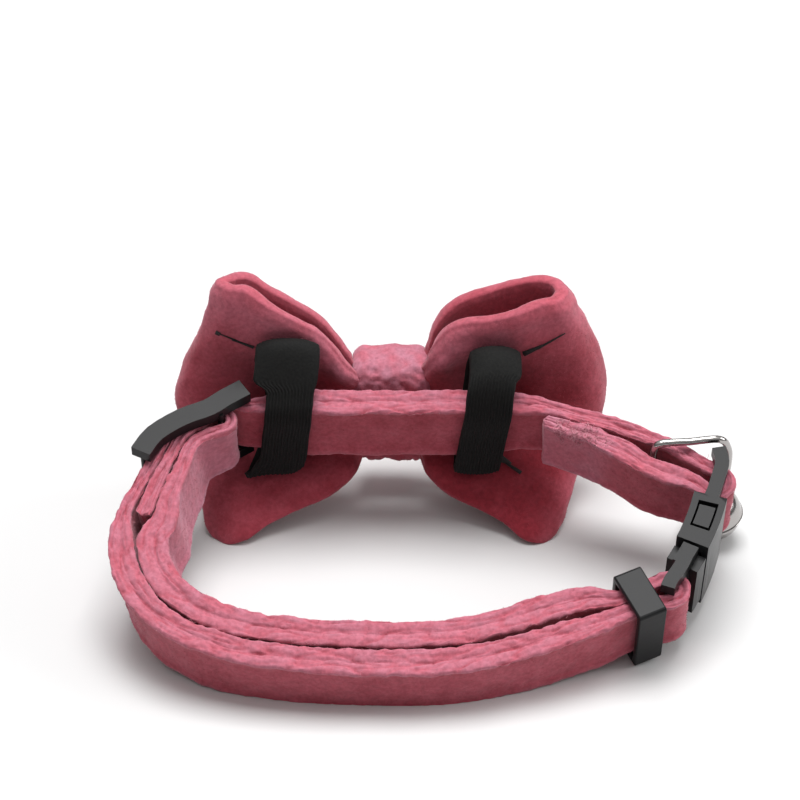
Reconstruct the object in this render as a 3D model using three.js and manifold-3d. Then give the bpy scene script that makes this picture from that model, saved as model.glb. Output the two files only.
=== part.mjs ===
// Velvet cat collar with a bow tie, lying as it does on a table: millimetres, +Z up.
// The collar loop is drawn flat in its own plane (across, back, up) and tilted about X,
// because the bow stands on its lower corners and lifts the far side of the loop.
import * as THREE from 'three';
import Module from 'manifold-3d';
import { mergeVertices } from 'three/addons/utils/BufferGeometryUtils.js';

const wasm = await Module();
wasm.setup();

// Driving sizes of the strap and its loop
const strapWidth = 10;
const strapThickness = 4.2;
const layerGap = 0.3;
const loopHalfWidth = 46;
const loopDepth = 46.8;
const collarTilt = THREE.MathUtils.degToRad(18.5);
const nearLift = 4.2;
const nearEdgeY = -32.6;
const stepLength = 3.2;

// Driving sizes of the plastic and metal parts
const barRadius = 0.6;
const sliderBarRadius = 0.45;
const railHeight = 1.9;
const railClearance = 0.35;
const sliderRailWidth = 3.2;
const buckleRailWidth = 2.1;
const buckleThickness = 5.0;
const buckleWall = 1.0;
const plateClearance = 0.3;
const prongGap = 0.9;
const keeperLength = 4.5;
const keeperWall = 1;
const keeperClearance = 0.75;
const ringWire = 1.3;
const ringReach = 11.6;
const ringOverhang = 1.3;
const bellRadius = 4.5;
const bellWall = 0.5;
const bellSlot = 1.1;
const bellEyeRadius = 1.4;
const bellEyeWire = 0.7;
const bellPlay = 0.2;
const bellLean = new THREE.Vector3(-0.08, -0.21, 0.975).normalize();
const bellTurn = -84;

// Driving sizes of the bow, its centre wrap and its two elastic loops
const bowCentreX = -5.4;
const bowGap = 7.9;
const bowHalfWidth = 32.4;
const bowRise = 20.6;
const bowDrop = 16.4;
const bowDepth = 10;
const bowWall = 2.7;
const knotWidth = 12;
const knotWall = 2.3;
const knotClearance = 0.3;
const elasticWidth = 7.2;
const elasticThickness = 1.2;
const elasticClearance = 0.35;
const elasticRise = 6.6;
const elasticBulge = 2.6;
const elasticDrop = 3.6;
const elasticLean = 2.6;
const elasticLeftX = -21.2;
const elasticRightX = 9.0;

const velvet = new THREE.MeshStandardMaterial({ color: 0x9c4b59, roughness: 0.95, metalness: 0 });
const webbing = new THREE.MeshStandardMaterial({ color: 0x1c1d1b, roughness: 0.85, metalness: 0 });
const plastic = new THREE.MeshStandardMaterial({ color: 0x2c2c2e, roughness: 0.4, metalness: 0 });
const nickel = new THREE.MeshStandardMaterial({ color: 0xd5d1d0, roughness: 0.2, metalness: 1 });

// Small tools for points in the plane of the loop

const at = (across, back) => new THREE.Vector2(across * loopHalfWidth, back * loopDepth);
const heading = (degrees) => {
  const angle = THREE.MathUtils.degToRad(degrees);
  return new THREE.Vector2(Math.cos(angle), Math.sin(angle));
};

function piece(name, geometry, skinMaterial) {
  const mesh = new THREE.Mesh(geometry, skinMaterial);
  mesh.name = name;
  return mesh;
}

function leftNormals(points) {
  return points.map((point, i) => {
    const before = points[Math.max(i - 1, 0)];
    const after = points[Math.min(i + 1, points.length - 1)];
    const along = after.clone().sub(before).normalize();
    return new THREE.Vector2(-along.y, along.x);
  });
}

// A closed body from rings of vertices: consecutive rings are joined, the end rings are capped
function skin(rings, closed) {
  const count = rings[0].length;
  const positions = rings.flat().flatMap((p) => [p.x, p.y, p.z]);
  const index = [];
  const last = closed ? rings.length : rings.length - 1;
  for (let i = 0; i < last; i += 1) {
    const near = i * count;
    const far = ((i + 1) % rings.length) * count;
    for (let j = 0; j < count; j += 1) {
      const next = (j + 1) % count;
      index.push(near + j, near + next, far + next, near + j, far + next, far + j);
    }
  }
  if (!closed) {
    const end = (rings.length - 1) * count;
    const flat = rings[0].map((p, j) => new THREE.Vector2(sectionTable[j].out, sectionTable[j].up));
    THREE.ShapeUtils.triangulateShape(flat, []).forEach(([a, b, c]) => {
      index.push(a, c, b, end + a, end + b, end + c);
    });
  }
  const geometry = new THREE.BufferGeometry();
  geometry.setAttribute('position', new THREE.Float32BufferAttribute(positions, 3));
  geometry.setIndex(index);
  geometry.computeVertexNormals();
  return geometry;
}

function solid(geometry) {
  const plain = geometry.clone();
  plain.deleteAttribute('normal');
  plain.deleteAttribute('uv');
  const merged = mergeVertices(plain, 1e-4);
  const vertProperties = new Float32Array(merged.attributes.position.array);
  const triVerts = new Uint32Array(merged.index.array);
  return new wasm.Manifold(new wasm.Mesh({ numProp: 3, vertProperties, triVerts }));
}

function surface(body) {
  const mesh = body.getMesh();
  const geometry = new THREE.BufferGeometry();
  geometry.setAttribute('position', new THREE.BufferAttribute(mesh.vertProperties, 3));
  geometry.setIndex(new THREE.BufferAttribute(mesh.triVerts, 1));
  geometry.computeVertexNormals();
  return geometry;
}

const joinAll = (bodies) => bodies.reduce((whole, body) => whole.add(body));

function prism(outline, low, high) {
  const shape = new THREE.Shape(outline);
  const geometry = new THREE.ExtrudeGeometry(shape, { depth: high - low, bevelEnabled: false });
  geometry.translate(0, 0, low);
  return solid(geometry);
}

// The outline of a bent rail: a smooth line through its points, widened to both sides
function ribbon(points, width, steps = 3) {
  const curve = new THREE.SplineCurve(points);
  const line = curve.getPoints((points.length - 1) * steps);
  const normals = leftNormals(line);
  const left = line.map((p, i) => p.clone().addScaledVector(normals[i], width / 2));
  const right = line.map((p, i) => p.clone().addScaledVector(normals[i], -width / 2));
  const outline = right.concat(left.reverse());
  return THREE.ShapeUtils.isClockWise(outline) ? outline.reverse() : outline;
}

function post(centre, radius, halfHeight) {
  const geometry = new THREE.CylinderGeometry(radius, radius, 2 * halfHeight, 10);
  geometry.rotateX(Math.PI / 2);
  geometry.translate(centre.x, centre.y, 0);
  return solid(geometry);
}

// Where the three crossbars stand that the strap is folded round
const femaleBar = at(0.933, 0.675);
const maleBar = at(0.764, 0.268);
const sliderBar = at(-0.678, 0.923);

const foldShare = 0.52;
const sliderFoldShare = 0.4;
const foldRadius = barRadius + layerGap + (foldShare * strapThickness) / 2;
const sliderFoldRadius = sliderBarRadius + layerGap + (sliderFoldShare * strapThickness) / 2;

// The outer run of the strap, from the fold on the female bar round the far side, through
// the slider and along the near side to the keeper. across and back are shares of the
// loop's half width and depth, thick is a share of the strap's thickness, second and third
// are the thickness shares of the layers that lie inside it, and wedge is the free space
// between the first two layers as a share of the strap's thickness.
const outerTable = [
  { across: 0.9, back: 0.75, thick: 0.52, second: 0.7, third: 0, wedge: 0.2, part: 'right' },
  { across: 0.828, back: 0.806, thick: 0.58, second: 0.85, third: 0, wedge: 0.36, part: 'right' },
  { across: 0.765, back: 0.842, thick: 0.58, second: 0.74, third: 0, wedge: 0.46, part: 'right' },
  { across: 0.69, back: 0.878, thick: 0.6, second: 0.8, third: 0, wedge: 0.22, part: 'right' },
  { across: 0.576, back: 0.922, thick: 0.62, second: 0.72, third: 0, wedge: 0, part: 'right' },
  { across: 0.485, back: 0.951, thick: 0.6, second: 0.58, third: 0, wedge: 0, part: 'right' },
  { across: 0.4, back: 0.976, thick: 0.58, second: 0.46, third: 0, wedge: 0, part: 'right' },
  { across: 0.29, back: 0.997, thick: 0.9, second: 0, third: 0, wedge: 0, part: 'far' },
  { across: 0.09, back: 1, thick: 1, second: 0, third: 0, wedge: 0, part: 'far' },
  { across: -0.13, back: 1, thick: 1, second: 0, third: 0, wedge: 0, part: 'far' },
  { across: -0.37, back: 1, thick: 1, second: 0, third: 0, wedge: 0, part: 'far' },
  { across: -0.49, back: 0.998, thick: 0.8, second: 0, third: 0, wedge: 0, part: 'far' },
  { across: -0.6, back: 0.986, thick: 0.42, second: 0, third: 0, wedge: 0, part: 'far' },
  { across: -0.665, back: 1, thick: 0.4, second: 0, third: 0, wedge: 0, part: 'far' },
  { across: -0.735, back: 0.982, thick: 0.4, second: 0, third: 0, wedge: 0, part: 'far' },
  { across: -0.832, back: 0.895, thick: 0.4, second: 0.42, third: 0.46, wedge: 0, part: 'left' },
  { across: -0.893, back: 0.765, thick: 0.4, second: 0.44, third: 0.56, wedge: 0, part: 'left' },
  { across: -0.937, back: 0.66, thick: 0.46, second: 0.5, third: 0.68, wedge: 0, part: 'left' },
  { across: -0.975, back: 0.56, thick: 0.54, second: 0.58, third: 0.88, wedge: 0, part: 'left' },
  { across: -0.982, back: 0.46, thick: 0.8, second: 1.02, third: 0, wedge: 0.3, part: 'near' },
  { across: -0.963, back: 0.35, thick: 0.9, second: 1.04, third: 0, wedge: 0.12, part: 'near' },
  { across: -0.915, back: 0.25, thick: 0.94, second: 1.04, third: 0, wedge: 0.05, part: 'near' },
  { across: -0.84, back: 0.165, thick: 0.92, second: 1.05, third: 0, wedge: 0.04, part: 'near' },
  { across: -0.73, back: 0.096, thick: 0.92, second: 1.05, third: 0, wedge: 0.03, part: 'near' },
  { across: -0.6, back: 0.048, thick: 0.95, second: 1.03, third: 0, wedge: 0.02, part: 'near' },
  { across: -0.4, back: 0.014, thick: 1, second: 1, third: 0, wedge: 0.04, part: 'near' },
  { across: -0.2, back: 0.002, thick: 1, second: 1, third: 0, wedge: 0.06, part: 'near' },
  { across: -0.03, back: 0, thick: 1, second: 1, third: 0, wedge: 0.08, part: 'near' },
  { across: 0.12, back: 0.014, thick: 0.98, second: 1, third: 0, wedge: 0.1, part: 'near' },
  { across: 0.26, back: 0.048, thick: 0.94, second: 1, third: 0, wedge: 0.14, part: 'near' },
  { across: 0.41, back: 0.098, thick: 0.9, second: 0.98, third: 0, wedge: 0.2, part: 'near' },
  { across: 0.53, back: 0.143, thick: 0.8, second: 0.88, third: 0, wedge: 0.16, part: 'near' },
  { across: 0.615, back: 0.178, thick: 0.6, second: 0.62, third: 0, wedge: 0.02, part: 'near' },
  { across: 0.678, back: 0.207, thick: 0.55, second: 0.55, third: 0, wedge: 0, part: 'near' },
];

// The strap's cross-section: shares of its half thickness and half width. The folded cloth
// shows as two lips with a groove between them along both edges.
const sectionTable = [
  { out: 1, up: -0.75 },
  { out: 0.94, up: 0.78 },
  { out: 0.6, up: 1 },
  { out: 0, up: 0.9 },
  { out: -0.6, up: 1 },
  { out: -0.94, up: 0.78 },
  { out: -1, up: -0.75 },
  { out: -0.6, up: -1 },
  { out: 0, up: -0.92 },
  { out: 0.6, up: -1 },
];

// Stations hold a centre, a thickness share and the layer they belong to
const outerLine = outerTable.map((row) => at(row.across, row.back));
const outwards = leftNormals(outerLine).map((n) => n.negate());

const inwardShift = (row, layer) => {
  const first = (row.thick + row.second) * strapThickness / 2 + row.wedge * strapThickness + layerGap;
  const next = (row.second + row.third) * strapThickness / 2 + layerGap;
  return layer === 1 ? first : first + next;
};

function layerStation(i, layer) {
  const row = outerTable[i];
  const centre = outerLine[i].clone().addScaledVector(outwards[i], -inwardShift(row, layer));
  const thick = layer === 1 ? row.second : row.third;
  return { centre, thick };
}

const rowsOf = (part) => outerTable.map((row, i) => i).filter((i) => outerTable[i].part === part);

function fold(centre, radius, from, to, thick) {
  const turns = 6;
  return Array.from({ length: turns + 1 }, (unused, i) => {
    const spoke = heading(from + ((to - from) * i) / turns);
    return { centre: centre.clone().addScaledVector(spoke, radius), thick };
  });
}

const femaleFold = { from: -128, to: 52 };
const maleFold = { from: -66, to: 114 };
const sliderFold = { from: -46, to: 134 };

// The whole strap in one run: sewn end, right side, female bar, outer run, male bar, inner
// run, slider bar and the tail between the layers
function strapStations() {
  const rightInner = rowsOf('right').reverse().map((i) => layerStation(i, 1));
  const outer = outerTable.map((row, i) => ({ centre: outerLine[i], thick: row.thick }));
  const nearInner = rowsOf('near').reverse().map((i) => layerStation(i, 1));
  const leftInner = rowsOf('left').reverse().map((i) => layerStation(i, 2));
  const tail = rowsOf('left').map((i) => layerStation(i, 1));
  return [
    ...rightInner,
    ...fold(femaleBar, foldRadius, femaleFold.from, femaleFold.to, foldShare),
    ...outer,
    ...fold(maleBar, foldRadius, maleFold.from, maleFold.to, foldShare),
    ...nearInner,
    ...leftInner,
    ...fold(sliderBar, sliderFoldRadius, sliderFold.from, sliderFold.to, sliderFoldShare),
    ...tail,
  ];
}

function strapRings() {
  const stations = strapStations();
  const knots = stations.map((s) => new THREE.Vector3(s.centre.x, s.centre.y, s.thick));
  const curve = new THREE.CatmullRomCurve3(knots, false, 'centripetal');
  const samples = [];
  for (let i = 0; i + 1 < knots.length; i += 1) {
    const gap = Math.hypot(knots[i + 1].x - knots[i].x, knots[i + 1].y - knots[i].y);
    const parts = Math.max(1, Math.round(gap / stepLength));
    for (let k = 0; k < parts; k += 1) {
      samples.push(curve.getPoint((i + k / parts) / (knots.length - 1)));
    }
  }
  samples.push(knots[knots.length - 1]);
  const normals = leftNormals(samples.map((s) => new THREE.Vector2(s.x, s.y)));
  return samples.map((sample, i) => sectionTable.map((corner) => {
    const shift = (-corner.out * sample.z * strapThickness) / 2;
    const back = sample.y + normals[i].y * shift;
    const floor = -(nearLift + back * Math.sin(collarTilt)) / Math.cos(collarTilt);
    const up = Math.max((corner.up * strapWidth) / 2, floor);
    return new THREE.Vector3(sample.x + normals[i].x * shift, back, up);
  }));
}

const railBottom = strapWidth / 2 + railClearance;
const railTop = railBottom + railHeight;

function railPair(outline) {
  return prism(outline, railBottom, railTop).add(prism(outline, -railTop, -railBottom));
}

// Slider: two wavy rails and three posts
function sliderBody() {
  const leftPost = at(-0.927, 0.79);
  const rightPost = at(-0.607, 1.022);
  const rail = [
    at(-0.93, 0.76),
    at(-0.887, 0.832),
    at(-0.8, 0.897),
    at(-0.716, 0.935),
    at(-0.664, 0.975),
    at(-0.6, 1.018),
  ];
  const posts = [leftPost, sliderBar, rightPost];
  const rails = railPair(ribbon(rail, sliderRailWidth));
  return joinAll([rails, ...posts.map((p) => post(p, sliderBarRadius, railTop - railHeight / 2))]);
}

// Keeper: a square sleeve round both layers of the near run
const keeperRow = outerTable.length - 1;
const keeperPlace = outerLine[keeperRow].clone().add(layerStation(keeperRow, 1).centre).multiplyScalar(0.5);
const keeperAlong = new THREE.Vector2(-outwards[keeperRow].y, outwards[keeperRow].x);

function keeperBody() {
  const row = outerTable[keeperRow];
  const stack = (row.thick + row.second) * strapThickness + layerGap + 2 * keeperClearance;
  const outer = new THREE.BoxGeometry(keeperLength, stack + 2 * keeperWall, 2 * (railBottom + keeperWall));
  const inner = new THREE.BoxGeometry(2 * keeperLength, stack, 2 * railBottom);
  [outer, inner].forEach((box) => {
    box.rotateZ(Math.atan2(keeperAlong.y, keeperAlong.x));
    box.translate(keeperPlace.x, keeperPlace.y, 0);
  });
  return solid(outer).subtract(solid(inner));
}

// The curved middle line of the fastened buckle, from the female's end to the male's. The
// starts and ends further down are shares of its length.
const buckleLine = [at(0.909, 0.588), at(0.888, 0.52), at(0.86, 0.45), at(0.828, 0.385), at(0.795, 0.33)];
const buckleCurve = new THREE.SplineCurve(buckleLine);

function buckleSlab(from, to, thickness, shift = 0) {
  const steps = 8;
  const line = Array.from({ length: steps + 1 }, (unused, i) => {
    return buckleCurve.getPoint(from + ((to - from) * i) / steps);
  });
  const normals = leftNormals(line);
  return ribbon(line.map((p, i) => p.clone().addScaledVector(normals[i], shift)), thickness, 1);
}

const socketEnd = 0.66;
const shoulderEnd = 0.9;
const windowStart = 0.12;
const windowEnd = 0.46;
const prongStart = 0.17;
const prongEnd = 0.4;
const guideStart = 0.3;
const channel = buckleThickness - 2 * buckleWall;

function femaleBody() {
  const endPost = at(0.948, 0.776);
  const frame = [endPost, at(0.955, 0.72), at(0.94, 0.665), at(0.922, 0.61), at(0.905, 0.57)];
  const rails = railPair(ribbon(frame, buckleRailWidth));
  const posts = [endPost, femaleBar].map((p) => post(p, barRadius, railTop - railHeight / 2));
  const shell = prism(buckleSlab(0, socketEnd, buckleThickness), -railTop, railTop);
  const hollow = prism(buckleSlab(windowStart, socketEnd + 0.1, channel), -railBottom, railBottom);
  const windows = prism(buckleSlab(windowStart, windowEnd, channel), -2 * railTop, 2 * railTop);
  return joinAll([shell, rails, ...posts]).subtract(hollow).subtract(windows);
}

function maleBody() {
  const tongue = channel - 2 * plateClearance;
  const core = railBottom - 2 * plateClearance;
  const armLow = core / 2 + prongGap;
  const mirrored = (low, high, side) => (side > 0 ? [low, high] : [-high, -low]);
  const frame = [at(0.815, 0.355), at(0.795, 0.315), maleBar, at(0.752, 0.24)];
  const rails = railPair(ribbon(frame, buckleRailWidth));
  const guide = prism(buckleSlab(guideStart, shoulderEnd, tongue), -core / 2, core / 2);
  const prongs = [1, -1].map((side) => {
    const arm = prism(buckleSlab(prongEnd, shoulderEnd, tongue), ...mirrored(armLow, core, side));
    const head = prism(buckleSlab(prongStart, prongEnd + 0.03, tongue), ...mirrored(armLow, railTop, side));
    return arm.add(head);
  });
  const shoulderStart = socketEnd + 0.04;
  const shoulder = prism(buckleSlab(shoulderStart, shoulderEnd, buckleThickness), -railBottom, railBottom);
  const caps = prism(buckleSlab(shoulderStart, 1, tongue), -railTop, railTop);
  const bar = post(maleBar, barRadius, railTop - railHeight / 2);
  return joinAll([shoulder, caps, guide, ...prongs, rails, bar]);
}

// D-ring: its flat side stands between the two layers, its bow reaches outwards
const ringFoot = at(0.744, 0.8);
const ringHeading = heading(6);
const ringHalf = strapWidth / 2 + ringOverhang;

function ringPoint(reach, up) {
  const place = ringFoot.clone().addScaledVector(ringHeading, reach);
  return new THREE.Vector3(place.x, place.y, up);
}

function dRingBody() {
  const corners = [[0, 0.86], [0, -0.86], [0.05, -1], [0.45, -1], [0.86, -0.97], [0.97, -0.6], [1, 0],
    [0.97, 0.6], [0.86, 0.97], [0.45, 1], [0.05, 1]];
  const path = new THREE.CatmullRomCurve3(corners.map(([r, u]) => ringPoint(r * ringReach, u * ringHalf)), true);
  const steps = 44;
  const sides = 6;
  const side = new THREE.Vector3(-ringHeading.y, ringHeading.x, 0);
  const rings = Array.from({ length: steps }, (unused, i) => {
    const centre = path.getPoint(i / steps);
    const along = path.getTangent(i / steps);
    const other = new THREE.Vector3().crossVectors(along, side).normalize();
    return Array.from({ length: sides }, (none, k) => {
      const angle = (2 * Math.PI * (k + 0.5)) / sides;
      return centre.clone()
        .addScaledVector(side, (Math.cos(angle) * ringWire) / 2)
        .addScaledVector(other, (Math.sin(angle) * ringWire) / 2);
    });
  });
  return skin(rings, true);
}

// Bell: a thin hollow ball with a rim round its middle, a slot below and an eye above
const bellHook = { reach: 0.835, up: -0.98 };
const eyeHeight = bellRadius + bellEyeRadius - bellEyeWire / 4;

function bellBody() {
  const rows = 9;
  const arc = (radius, from, to) => Array.from({ length: rows + 1 }, (unused, i) => {
    const angle = THREE.MathUtils.degToRad(from + ((to - from) * i) / rows);
    return new THREE.Vector2(radius * Math.cos(angle), radius * Math.sin(angle));
  });
  const bore = 12;
  const outer = arc(bellRadius, -90 + bore, 90);
  outer[rows].x = 0;
  const inner = arc(bellRadius - bellWall, 90, -90 + bore);
  inner[0].x = 0;
  const shell = new THREE.LatheGeometry([...outer, ...inner, outer[0]], 16);
  shell.rotateX(Math.PI / 2);
  const ball = solid(shell);
  const slot = new THREE.BoxGeometry(3 * bellRadius, bellSlot, bellRadius);
  slot.translate(0, 0, -bellRadius * 0.95);
  const rim = new THREE.TorusGeometry(bellRadius, bellWall / 2, 6, 24);
  const eye = new THREE.TorusGeometry(bellEyeRadius, bellEyeWire / 2, 6, 14);
  eye.rotateX(Math.PI / 2);
  eye.translate(0, 0, eyeHeight);
  return ball.subtract(solid(slot)).add(solid(rim)).add(solid(eye));
}

// A point of the loop's plane, given by its way back and up, as depth and height
const toWorld = (back, up) => new THREE.Vector2(
  nearEdgeY + back * Math.cos(collarTilt) - up * Math.sin(collarTilt),
  nearLift + back * Math.sin(collarTilt) + up * Math.cos(collarTilt),
);

// The bow hangs behind the far strap, a gap away from it, and stands on its lower corners
const farFace = toWorld(loopDepth + strapThickness / 2, 0);
const bowCentreY = farFace.x + bowGap;
const bowCentreZ = bowDrop;

// Bow: one closed band of cloth, pinched in the middle. Each row is a section of a wing:
// reach is the share of the wing's half width, rise and drop of the bow's heights, wall of
// its wall, and the last six are shares of its depth for the back and front panels at
// their top, middle and bottom.
const bowTable = [
  { reach: 0, rise: 0.26, drop: 0.42, wall: 0.66, back: [-0.11, -0.11, -0.11], front: [0.11, 0.11, 0.11] },
  { reach: 0.25, rise: 0.27, drop: 0.43, wall: 0.7, back: [-0.12, -0.12, -0.12], front: [0.12, 0.12, 0.12] },
  { reach: 0.305, rise: 0.42, drop: 0.54, wall: 0.85, back: [-0.26, -0.15, -0.42], front: [0.16, 0.3, 0.05] },
  { reach: 0.37, rise: 0.64, drop: 0.65, wall: 0.95, back: [-0.44, -0.16, -0.72], front: [0.22, 0.45, -0.04] },
  { reach: 0.46, rise: 0.76, drop: 0.74, wall: 1, back: [-0.52, -0.16, -0.95], front: [0.3, 0.56, -0.2] },
  { reach: 0.6, rise: 0.86, drop: 0.84, wall: 1, back: [-0.54, -0.17, -1.12], front: [0.34, 0.6, -0.4] },
  { reach: 0.74, rise: 0.94, drop: 0.93, wall: 1, back: [-0.54, -0.18, -1.3], front: [0.28, 0.56, -0.62] },
  { reach: 0.86, rise: 0.99, drop: 1, wall: 1, back: [-0.44, -0.2, -1.54], front: [0.2, 0.46, -0.86] },
];
// The wings' ends: level runs from the bottom edge to the top edge, left and right are their
// shares of the bow's half width there
const wingEnd = [
  { level: -1, left: 0.8, right: 0.8 },
  { level: -0.6, left: 0.9, right: 0.9 },
  { level: -0.2, left: 0.985, right: 0.985 },
  { level: 0.1, left: 1, right: 1 },
  { level: 0.4, left: 0.945, right: 0.96 },
  { level: 0.7, left: 0.865, right: 0.885 },
  { level: 1, left: 0.785, right: 0.8 },
];
const bowLevels = [-1, -0.8, -0.55, -0.25, 0, 0.25, 0.5, 0.78, 1];
const mouthShare = { left: 0.75, right: 1.12 };
const riseShare = { left: 1.09, right: 1 };

function interpolate(rows, key, value, wanted) {
  const above = Math.max(1, rows.findIndex((row) => row[key] >= value - 1e-9));
  const low = rows[above - 1];
  const high = rows[above];
  return THREE.MathUtils.mapLinear(value, low[key], high[key], low[wanted], high[wanted]);
}

function panelOffset([top, middle, bottom], level) {
  const end = level > 0 ? top : bottom;
  const bend = level * level * (1.6 - 0.6 * Math.abs(level));
  return bowDepth * (middle + (end - middle) * bend);
}

function wingSections(side, level) {
  const end = bowHalfWidth * interpolate(wingEnd, 'level', level, side < 0 ? 'left' : 'right');
  const mouth = side < 0 ? mouthShare.left : mouthShare.right;
  const lift = side < 0 ? riseShare.left : riseShare.right;
  const sections = bowTable.map((row) => {
    const wingRise = row.reach > 0.26 ? bowRise * lift : bowRise;
    const height = level > 0 ? level * wingRise * row.rise : level * bowDrop * row.drop;
    const back = panelOffset(row.back, level);
    const spread = (panelOffset(row.front, level) - back) * (row.reach > 0.26 ? mouth : 1);
    return { reach: row.reach * end, height, back, front: back + spread, wall: row.wall * bowWall };
  });
  return { sections, end };
}

// Points of the band's middle surface at one level, once round both wings
function bowLoop(level) {
  const point = (across, depth, height, wall) => ({ across, depth, height, wall });
  const wing = (side) => {
    const { sections, end } = wingSections(side, level);
    const tip = sections[sections.length - 1];
    const middle = (tip.back + tip.front) / 2;
    const half = (tip.front - tip.back) / 2;
    const backs = sections.map((s) => point(side * s.reach, s.back, s.height, s.wall));
    const fronts = sections.map((s) => point(side * s.reach, s.front, s.height, s.wall)).reverse();
    const turn = [-50, 0, 50].map((degrees) => {
      const angle = THREE.MathUtils.degToRad(degrees);
      const reach = tip.reach + (end - tip.reach) * Math.cos(angle);
      return point(side * reach, middle + half * Math.sin(angle), tip.height, tip.wall);
    });
    return { backs, turn, fronts };
  };
  const right = wing(1);
  const left = wing(-1);
  return [
    ...right.backs,
    ...right.turn,
    ...right.fronts,
    ...left.fronts.reverse().slice(1),
    ...left.turn.reverse(),
    ...left.backs.reverse().slice(0, -1),
  ];
}

function bowBody() {
  const shells = bowLevels.map((level) => {
    const loop = bowLoop(level);
    const count = loop.length;
    return loop.map((p, i) => {
      const before = loop[(i + count - 1) % count];
      const after = loop[(i + 1) % count];
      const away = new THREE.Vector2(after.depth - before.depth, before.across - after.across).normalize();
      const place = (shift) => new THREE.Vector3(
        bowCentreX + p.across + away.x * shift,
        bowCentreY + p.depth + away.y * shift,
        bowCentreZ + p.height,
      );
      return { outer: place(p.wall / 2), inner: place(-p.wall / 2) };
    });
  });
  const rings = shells[0].map((unused, i) => [
    ...shells.map((shell) => shell[i].outer),
    ...shells.map((shell) => shell[i].inner).reverse(),
  ]);
  return skin(rings.reverse(), true);
}

// A closed band round a core: width along X, a rounded section in the Y-Z plane
function wrapBody(centre, width, section, bulge) {
  const stops = [-0.5, -0.44, -0.2, 0.2, 0.44, 0.5];
  const swell = [0.86, 0.97, 1, 1, 0.97, 0.86];
  const rings = section.map(({ inner, outer }) => {
    const outerSide = stops.map((stop, i) => {
      const grow = 1 - (1 - swell[i]) * bulge;
      return new THREE.Vector3(centre.x + stop * width, centre.y + outer.x * grow, centre.z + outer.y * grow);
    });
    const innerSide = [0.5, -0.5].map((stop) => {
      return new THREE.Vector3(centre.x + stop * width, centre.y + inner.x, centre.z + inner.y);
    });
    return [...outerSide, ...innerSide];
  });
  return skin(rings.reverse(), true);
}

// A rounded rectangle about the origin, given by its half depth, its rise and its drop
function roundedSection(halfDepth, rise, drop, radius, wall) {
  const corners = [[1, 1, 0], [-1, 1, 90], [-1, -1, 180], [1, -1, 270]];
  return corners.flatMap(([sideways, upwards, start]) => [0, 30, 60, 90].map((turn) => {
    const spoke = heading(start + turn);
    const centre = new THREE.Vector2(
      sideways * (halfDepth - radius),
      upwards > 0 ? rise - radius : radius - drop,
    );
    return {
      inner: centre.clone().addScaledVector(spoke, radius),
      outer: centre.clone().addScaledVector(spoke, radius + wall),
    };
  }));
}

function knotBody() {
  const core = bowTable[1];
  const halfDepth = bowDepth * core.front[1] + (core.wall * bowWall) / 2 + knotClearance;
  const rise = bowRise * core.rise + knotClearance;
  const drop = bowDrop * core.drop + knotClearance;
  const section = roundedSection(halfDepth, rise, drop, knotClearance, knotWall);
  return wrapBody(new THREE.Vector3(bowCentreX, bowCentreY, bowCentreZ), knotWidth, section, 1);
}

// Elastic loop: sewn to the bow's back, it hangs round the strap and stands above it
function elasticBody(centreX) {
  const half = strapThickness / 2 + elasticClearance;
  const corner = (out, up) => toWorld(loopDepth + out * half, (up * strapWidth) / 2);
  const moved = (point, depth, height) => new THREE.Vector2(point.x + depth, point.y + height);
  const frontLow = corner(-1, -1);
  const frontHigh = corner(-1, 1);
  const backLow = corner(1, -1);
  const backHigh = corner(1, 1);
  const inside = new THREE.CatmullRomCurve3([
    moved(frontLow, 0.2, -0.38 * elasticDrop),
    frontLow.clone().lerp(frontHigh, 0.4),
    frontHigh,
    moved(frontHigh, 0.4 * elasticBulge, 0.72 * elasticRise),
    moved(backHigh, 0.25 * elasticBulge, 0.84 * elasticRise),
    moved(backHigh, elasticBulge, 0.35 * elasticRise),
    backHigh.clone().lerp(backLow, 0.45).add(new THREE.Vector2(0.3 * elasticBulge, 0)),
    moved(backLow, 0.03 * elasticBulge, 0.1 * elasticDrop),
    moved(backLow, -0.28 * elasticDrop, -0.85 * elasticDrop),
    moved(frontLow, 0.3 * elasticDrop, -elasticDrop),
  ].map((p) => new THREE.Vector3(p.x, p.y, 0)), true, 'centripetal');
  const turns = 30;
  const line = Array.from({ length: turns }, (unused, i) => inside.getPoint(i / turns));
  const section = line.map((p, i) => {
    const along = line[(i + 1) % turns].clone().sub(line[(i + turns - 1) % turns]).normalize();
    const outer = new THREE.Vector2(p.x - along.y * elasticThickness, p.y + along.x * elasticThickness);
    return { inner: new THREE.Vector2(p.x, p.y), outer };
  });
  const lowest = Math.min(...section.map(({ outer }) => outer.y));
  const highest = Math.max(...section.map(({ outer }) => outer.y));
  const body = wrapBody(new THREE.Vector3(centreX, 0, 0), elasticWidth, section.reverse(), 0);
  const place = body.attributes.position;
  for (let i = 0; i < place.count; i += 1) {
    const lean = THREE.MathUtils.mapLinear(place.getZ(i), lowest, highest, -0.5, 0.5);
    place.setX(i, place.getX(i) + lean * elasticLean);
  }
  body.computeVertexNormals();
  return body;
}

// The collar: everything that lies in the tilted loop
const loop = new THREE.Group();
loop.rotation.x = collarTilt;
loop.position.set(0, nearEdgeY, nearLift);
loop.add(piece('strap', skin(strapRings().reverse(), false), velvet));
loop.add(piece('slider', surface(sliderBody()), plastic));
loop.add(piece('keeper_loop', surface(keeperBody()), plastic));
loop.add(piece('buckle_female', surface(femaleBody()), plastic));
loop.add(piece('buckle_male', surface(maleBody()), plastic));
loop.add(piece('d_ring', dRingBody(), nickel));

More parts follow.
